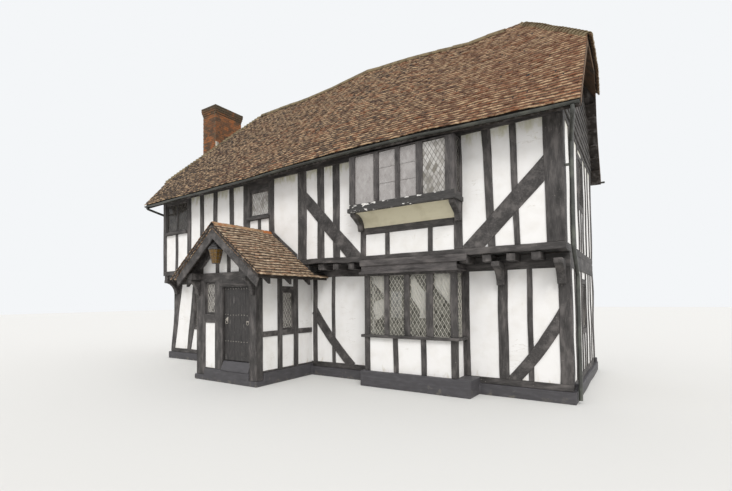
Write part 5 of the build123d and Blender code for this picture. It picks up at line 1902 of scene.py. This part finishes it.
@dataclass
class FrontDoor:
    """Boarded leaf with rows of nails and two ring handles, its head mould and the worn step."""
    planks: int = 5
    seam: float = 0.0015
    nail: float = 0.013
    nails: int = 10
    nails_inset: float = 0.05
    rows: tuple[float, ...] = (2.245, 1.62, 0.99)
    ring_wire: float = 0.006
    knob: float = 0.014
    left_x: float = 0.10
    left_z: float = 1.50
    left_ring: float = 0.045
    right_x: float = 0.105
    right_z: float = 1.43
    right_ring: float = 0.038
    mould_x: tuple[float, float] = (-1.29, -0.25)
    mould_z: tuple[float, float, float] = (2.325, 2.362, 2.386)
    mould_out: tuple[float, float] = (0.026, 0.042)

    def leaf(self) -> None:
        """Planks with rounded edges side by side."""
        low, high = box("door_leaf")
        each = (high.x - low.x) / self.planks
        boards = []
        for number in range(self.planks):
            x = low.x + number * each
            boards.append(block((x + self.seam, low.y, low.z), (x + each - self.seam, high.y, high.z), 0.006))
        shape = join(boards)
        piece("leaf_planks", shape, [OAK_DOOR], DOOR, ("door_leaf",))
        rng = random.Random(61)
        head = bmesh.new()
        bmesh.ops.create_icosphere(head, subdivisions=1, radius=self.nail)
        bmesh.ops.scale(head, vec=(1.0, 0.5, 1.0), verts=head.verts)
        span = high.x - low.x - 2 * self.nails_inset
        places = [Matrix.Translation((low.x + self.nails_inset + i * span / (self.nails - 1) +
                                      rng.gauss(0.0, 0.006), low.y, z + rng.gauss(0.0, 0.005)))
                  for z in self.rows for i in range(self.nails)]
        piece("leaf_nails", lay(head, places, rng), [NAIL_IRON], DOOR, smooth=True)

    def handle(self, x: float, z: float, radius: float, plate: bmesh.types.BMesh) -> bmesh.types.BMesh:
        """A round ring that hangs from a knob on its plate.

        Args:
            x: the middle of the ring across the door.
            z: the middle of the ring's height.
            radius: the ring's radius.
            plate: the open plate, which is freed.

        Returns:
            The handle in one open shape.
        """
        low = box("door_leaf")[0]
        ring = bmesh.new()
        made = bmesh.ops.create_circle(ring, segments=8, radius=self.ring_wire,
                                       matrix=Matrix.Translation((radius, 0.0, 0.0)))
        bmesh.ops.spin(ring, geom=[*made["verts"], *ring.edges], cent=(0, 0, 0), axis=(0, 1, 0),
                       angle=math.tau, steps=24, use_merge=True)
        bmesh.ops.translate(ring, verts=ring.verts, vec=(x, low.y - 0.012, z))
        bmesh.ops.recalc_face_normals(ring, faces=ring.faces)
        knob = bmesh.new()
        bmesh.ops.create_uvsphere(knob, u_segments=12, v_segments=8, radius=self.knob)
        bmesh.ops.translate(knob, verts=knob.verts, vec=(x, low.y - 0.010, z + radius))
        return join([ring, knob, plate])

    def handles(self) -> None:
        """The ring handle on its three-sided plate at the left, and the one on a bar at the right."""
        low, high = box("door_leaf")
        x, z = low.x + self.left_x, self.left_z
        plate = bmesh.new()
        bmesh.ops.create_cone(plate, cap_ends=True, segments=3, radius1=0.078, radius2=0.070, depth=0.006)
        turn = Matrix.Rotation(math.radians(90), 3, "X") @ Matrix.Rotation(math.radians(90), 3, "Z")
        bmesh.ops.rotate(plate, verts=plate.verts, matrix=turn)
        bmesh.ops.translate(plate, verts=plate.verts, vec=(x, low.y - 0.003, z + 0.01))
        left = self.handle(x, z - 0.050, self.left_ring, plate)
        x, z = high.x - self.right_x, self.right_z
        back = block((x - 0.05, low.y - 0.006, z + 0.025), (x + 0.05, low.y, z + 0.055), 0.004)
        right = self.handle(x, z, self.right_ring, back)
        piece("ring_handles", join([left, right]), [NAIL_IRON], DOOR, ("door_handles",), True)

    def build(self) -> None:
        """Makes the leaf, its iron and the step."""
        self.leaf()
        self.handles()
        y = box("door_frame")[0].y
        x0, x1 = self.mould_x
        z0, z1, z2 = self.mould_z
        lower, upper = self.mould_out
        mould = join([block((x0, y - lower, z0), (x1, y, z1), 0.006),
                      block((x0 - 0.02, y - upper, z1), (x1 + 0.02, y, z2), 0.006)])
        piece("door_head_mould", mould, [OAK_ALONG])
        shape = cad_copy("door_step")
        soften(shape, 0.008, 2)
        piece("worn_step", shape, [STEP_PAINT], replaces=("door_step",))


@dataclass
class Lantern:
    """Tapered lantern of amber glass in iron bars, under a hood with a knob."""
    sides: int = 12
    foot: float = 0.094
    head: float = 0.170
    bar: float = 0.007
    glass_in: float = 0.004
    crown: tuple[tuple[float, float], ...] = (
        (0.0, 0.176), (0.012, 0.182), (0.04, 0.176), (0.055, 0.15), (0.07, 0.155), (0.11, 0.11),
        (0.125, 0.12), (0.155, 0.075), (0.17, 0.088), (0.20, 0.055), (0.23, 0.045), (0.25, 0.065),
        (0.275, 0.055), (0.30, 0.022), (0.32, 0.034), (0.345, 0.022), (0.36, 0.009))
    tip: float = 0.007

    def build(self) -> None:
        """Makes the glazed body and the hood."""
        low, high = box("lantern_body")
        middle = (low + high) / 2
        shape = bmesh.new()
        bmesh.ops.create_cone(shape, cap_ends=True, segments=self.sides, radius1=self.foot, radius2=self.head,
                              depth=high.z - low.z, matrix=Matrix.Translation(middle))
        uprights = [e for e in shape.edges if abs((e.verts[0].co - e.verts[1].co).z) > 0.1]
        bmesh.ops.subdivide_edges(shape, edges=uprights, cuts=3)
        walls = [f for f in shape.faces if abs(f.normal.z) < 0.6]
        bmesh.ops.inset_individual(shape, faces=walls, thickness=self.bar, depth=-self.glass_in)
        for face in walls:
            face.material_index = 1
        piece("lantern_cage", shape, [IRON, AMBER], replaces=("lantern_body",))
        low, high = box("lantern_hood")
        at = Vector((middle.x, middle.y, low.z))
        hood = bmesh.new()
        previous = None
        for rise, radius in (*self.crown, (high.z - low.z, self.tip)):
            made = bmesh.ops.create_circle(hood, segments=self.sides, radius=radius,
                                           matrix=Matrix.Translation(at + UP * rise))
            edges = list({e for v in made["verts"] for e in v.link_edges})
            if previous:
                bmesh.ops.bridge_loops(hood, edges=previous + edges)
            previous = edges
        bmesh.ops.holes_fill(hood, edges=hood.edges, sides=0)
        bmesh.ops.recalc_face_normals(hood, faces=hood.faces)
        piece("lantern_crown", hood, [DUSTY_IRON], replaces=("lantern_hood",))


@dataclass
class Gables:
    """Weatherboards on the two gables, feathered so that each laps the one below."""
    exposure: float = 0.165
    lap: float = 0.02
    thick: float = 0.024
    feather: float = 0.75
    wall_x: float = 6.18
    half: float = 2.38
    foot: float = 5.33
    slab: float = 0.1
    under_hip: float = 0.13

    def build(self) -> None:
        """Boards both gables up to the roof."""
        slope = (RIDGE_Z - EAVE_Z) / EAVE_Y
        drop = self.slab * math.sqrt(1 + slope * slope) + 0.01
        top = Vector((0.0, 0.0, RIDGE_Z - drop))
        for side, sign, verge, base, peak in (
                (Side.LEFT, -1.0, VERGE_LEFT, RIDGE_LEFT, HIP_FOOT_LEFT),
                (Side.RIGHT, 1.0, VERGE_RIGHT, RIDGE_RIGHT, HIP_FOOT_RIGHT)):
            x = sign * self.wall_x
            hip = Vector((base - verge, 0.0, RIDGE_Z - peak)).normalized()
            out = Vector((-hip.z * math.copysign(1, hip.x), 0.0, abs(hip.x)))
            rng = random.Random(71)
            boards = []
            z = self.foot
            while z < peak + 0.3:
                near, far = sorted((x, x + sign * self.thick))
                board = block((near, -self.half, z), (far, self.half, z + self.exposure + self.lap))
                face = [v for v in board.verts if (v.co.x - x) * sign > self.thick / 2 and v.co.z > z + 0.1]
                bmesh.ops.translate(board, verts=face, vec=(-sign * self.thick * self.feather, 0.0, 0.0))
                bmesh.ops.translate(board, verts=board.verts, vec=(sign * rng.random() * 0.002, 0.0, 0.0))
                boards.append(board)
                z += self.exposure
            shape = join(boards)
            trim(shape, [(top, Vector((0.0, -slope, 1.0)).normalized()),
                         (top, Vector((0.0, slope, 1.0)).normalized()),
                         (Vector((verge, 0.0, peak - self.under_hip)), out)])
            piece(f"{side.value}_weatherboards", shape, [OAK_BOARDS])


@dataclass
class Curtains:
    """Cotton nets behind the bay, swept aside in soft folds.

    Each row of a net is a height, and the net's left and right edge there.
    """
    cloth: float = 0.43
    fold: float = 0.075
    depth: float = 0.007
    y: float = -2.315
    nets: tuple[tuple[str, tuple[tuple[float, float, float], ...]], ...] = (
        ("bay_net_left", ((2.475, 2.06, 2.49), (2.39, 2.07, 2.49), (2.22, 2.24, 2.49), (2.06, 2.40, 2.49),
                          (1.98, 2.41, 2.49), (1.91, 2.16, 2.47), (1.78, 2.12, 2.45), (1.62, 2.14, 2.38),
                          (1.50, 2.18, 2.27))),
        ("bay_net_middle", ((2.475, 3.07, 3.16), (2.32, 3.07, 3.24), (2.15, 3.07, 3.38), (2.00, 3.08, 3.50),
                            (1.90, 3.16, 3.51), (1.80, 3.24, 3.51), (1.70, 3.30, 3.50), (1.55, 3.28, 3.46))),
        ("bay_net_right", ((2.475, 3.60, 4.04), (2.25, 3.61, 4.04), (2.12, 3.72, 4.04), (1.98, 3.84, 4.04),
                           (1.82, 3.97, 4.04))))

    @staticmethod
    def edges(rows: tuple[tuple[float, float, float], ...], z: float) -> tuple[float, float]:
        """The net's edges at one height.

        Args:
            rows: the net's rows, from the top.
            z: the height.

        Returns:
            The left and right edge.
        """
        for (z0, l0, r0), (z1, l1, r1) in zip(rows, rows[1:]):
            if z >= z1:
                t = (z - z0) / (z1 - z0)
                return l0 + (l1 - l0) * t, r0 + (r1 - r0) * t
        return rows[-1][1:]

    def sheet(self, name: str, rows: tuple[tuple[float, float, float], ...]) -> None:
        """One net, whose width at each height follows its rows.

        Args:
            name: the piece's name.
            rows: the net's rows, from the top.
        """
        top, foot = rows[0][0], rows[-1][0]
        shape = bmesh.new()
        bmesh.ops.create_grid(shape, x_segments=40, y_segments=24, size=0.5)
        for vertex in shape.verts:
            share, level = vertex.co.x + 0.5, vertex.co.y + 0.5
            z = foot + (top - foot) * level
            left, right = self.edges(rows, z)
            wander = noise.noise(Vector((share * 2.0, z * 2.0, 3.0)))
            phase = share * self.cloth / self.fold * math.tau + wander
            squeeze = min(1.5, self.cloth / max(right - left, 0.05))
            y = self.y + math.sin(phase) * self.depth * squeeze
            vertex.co = Vector((left + (right - left) * share, y, z))
        area = sum(f.calc_area() for f in shape.faces)
        made = piece(name, shape, [NET], smooth=True)

    def build(self) -> None:
        """Hangs the three nets."""
        for name, rows in self.nets:
            self.sheet(name, rows)


def main() -> None:
    """Builds the studio and every part of the house in order."""
    logging.basicConfig(level=logging.INFO, format="%(name)s %(message)s")
    noise.seed_set(WANDER_SEED)
    bpy.context.scene.view_settings.view_transform = "Standard"
    for part in (Studio(), Frame(), MainRoof(), PorchRoof(), Chimney(), LeadedLights(), Rainwater(),
                 FrontDoor(), Lantern(), Gables(), Curtains()):
        part.build()
        LOG.info("%s done", type(part).__name__)


if __name__ == "__main__":
    main()
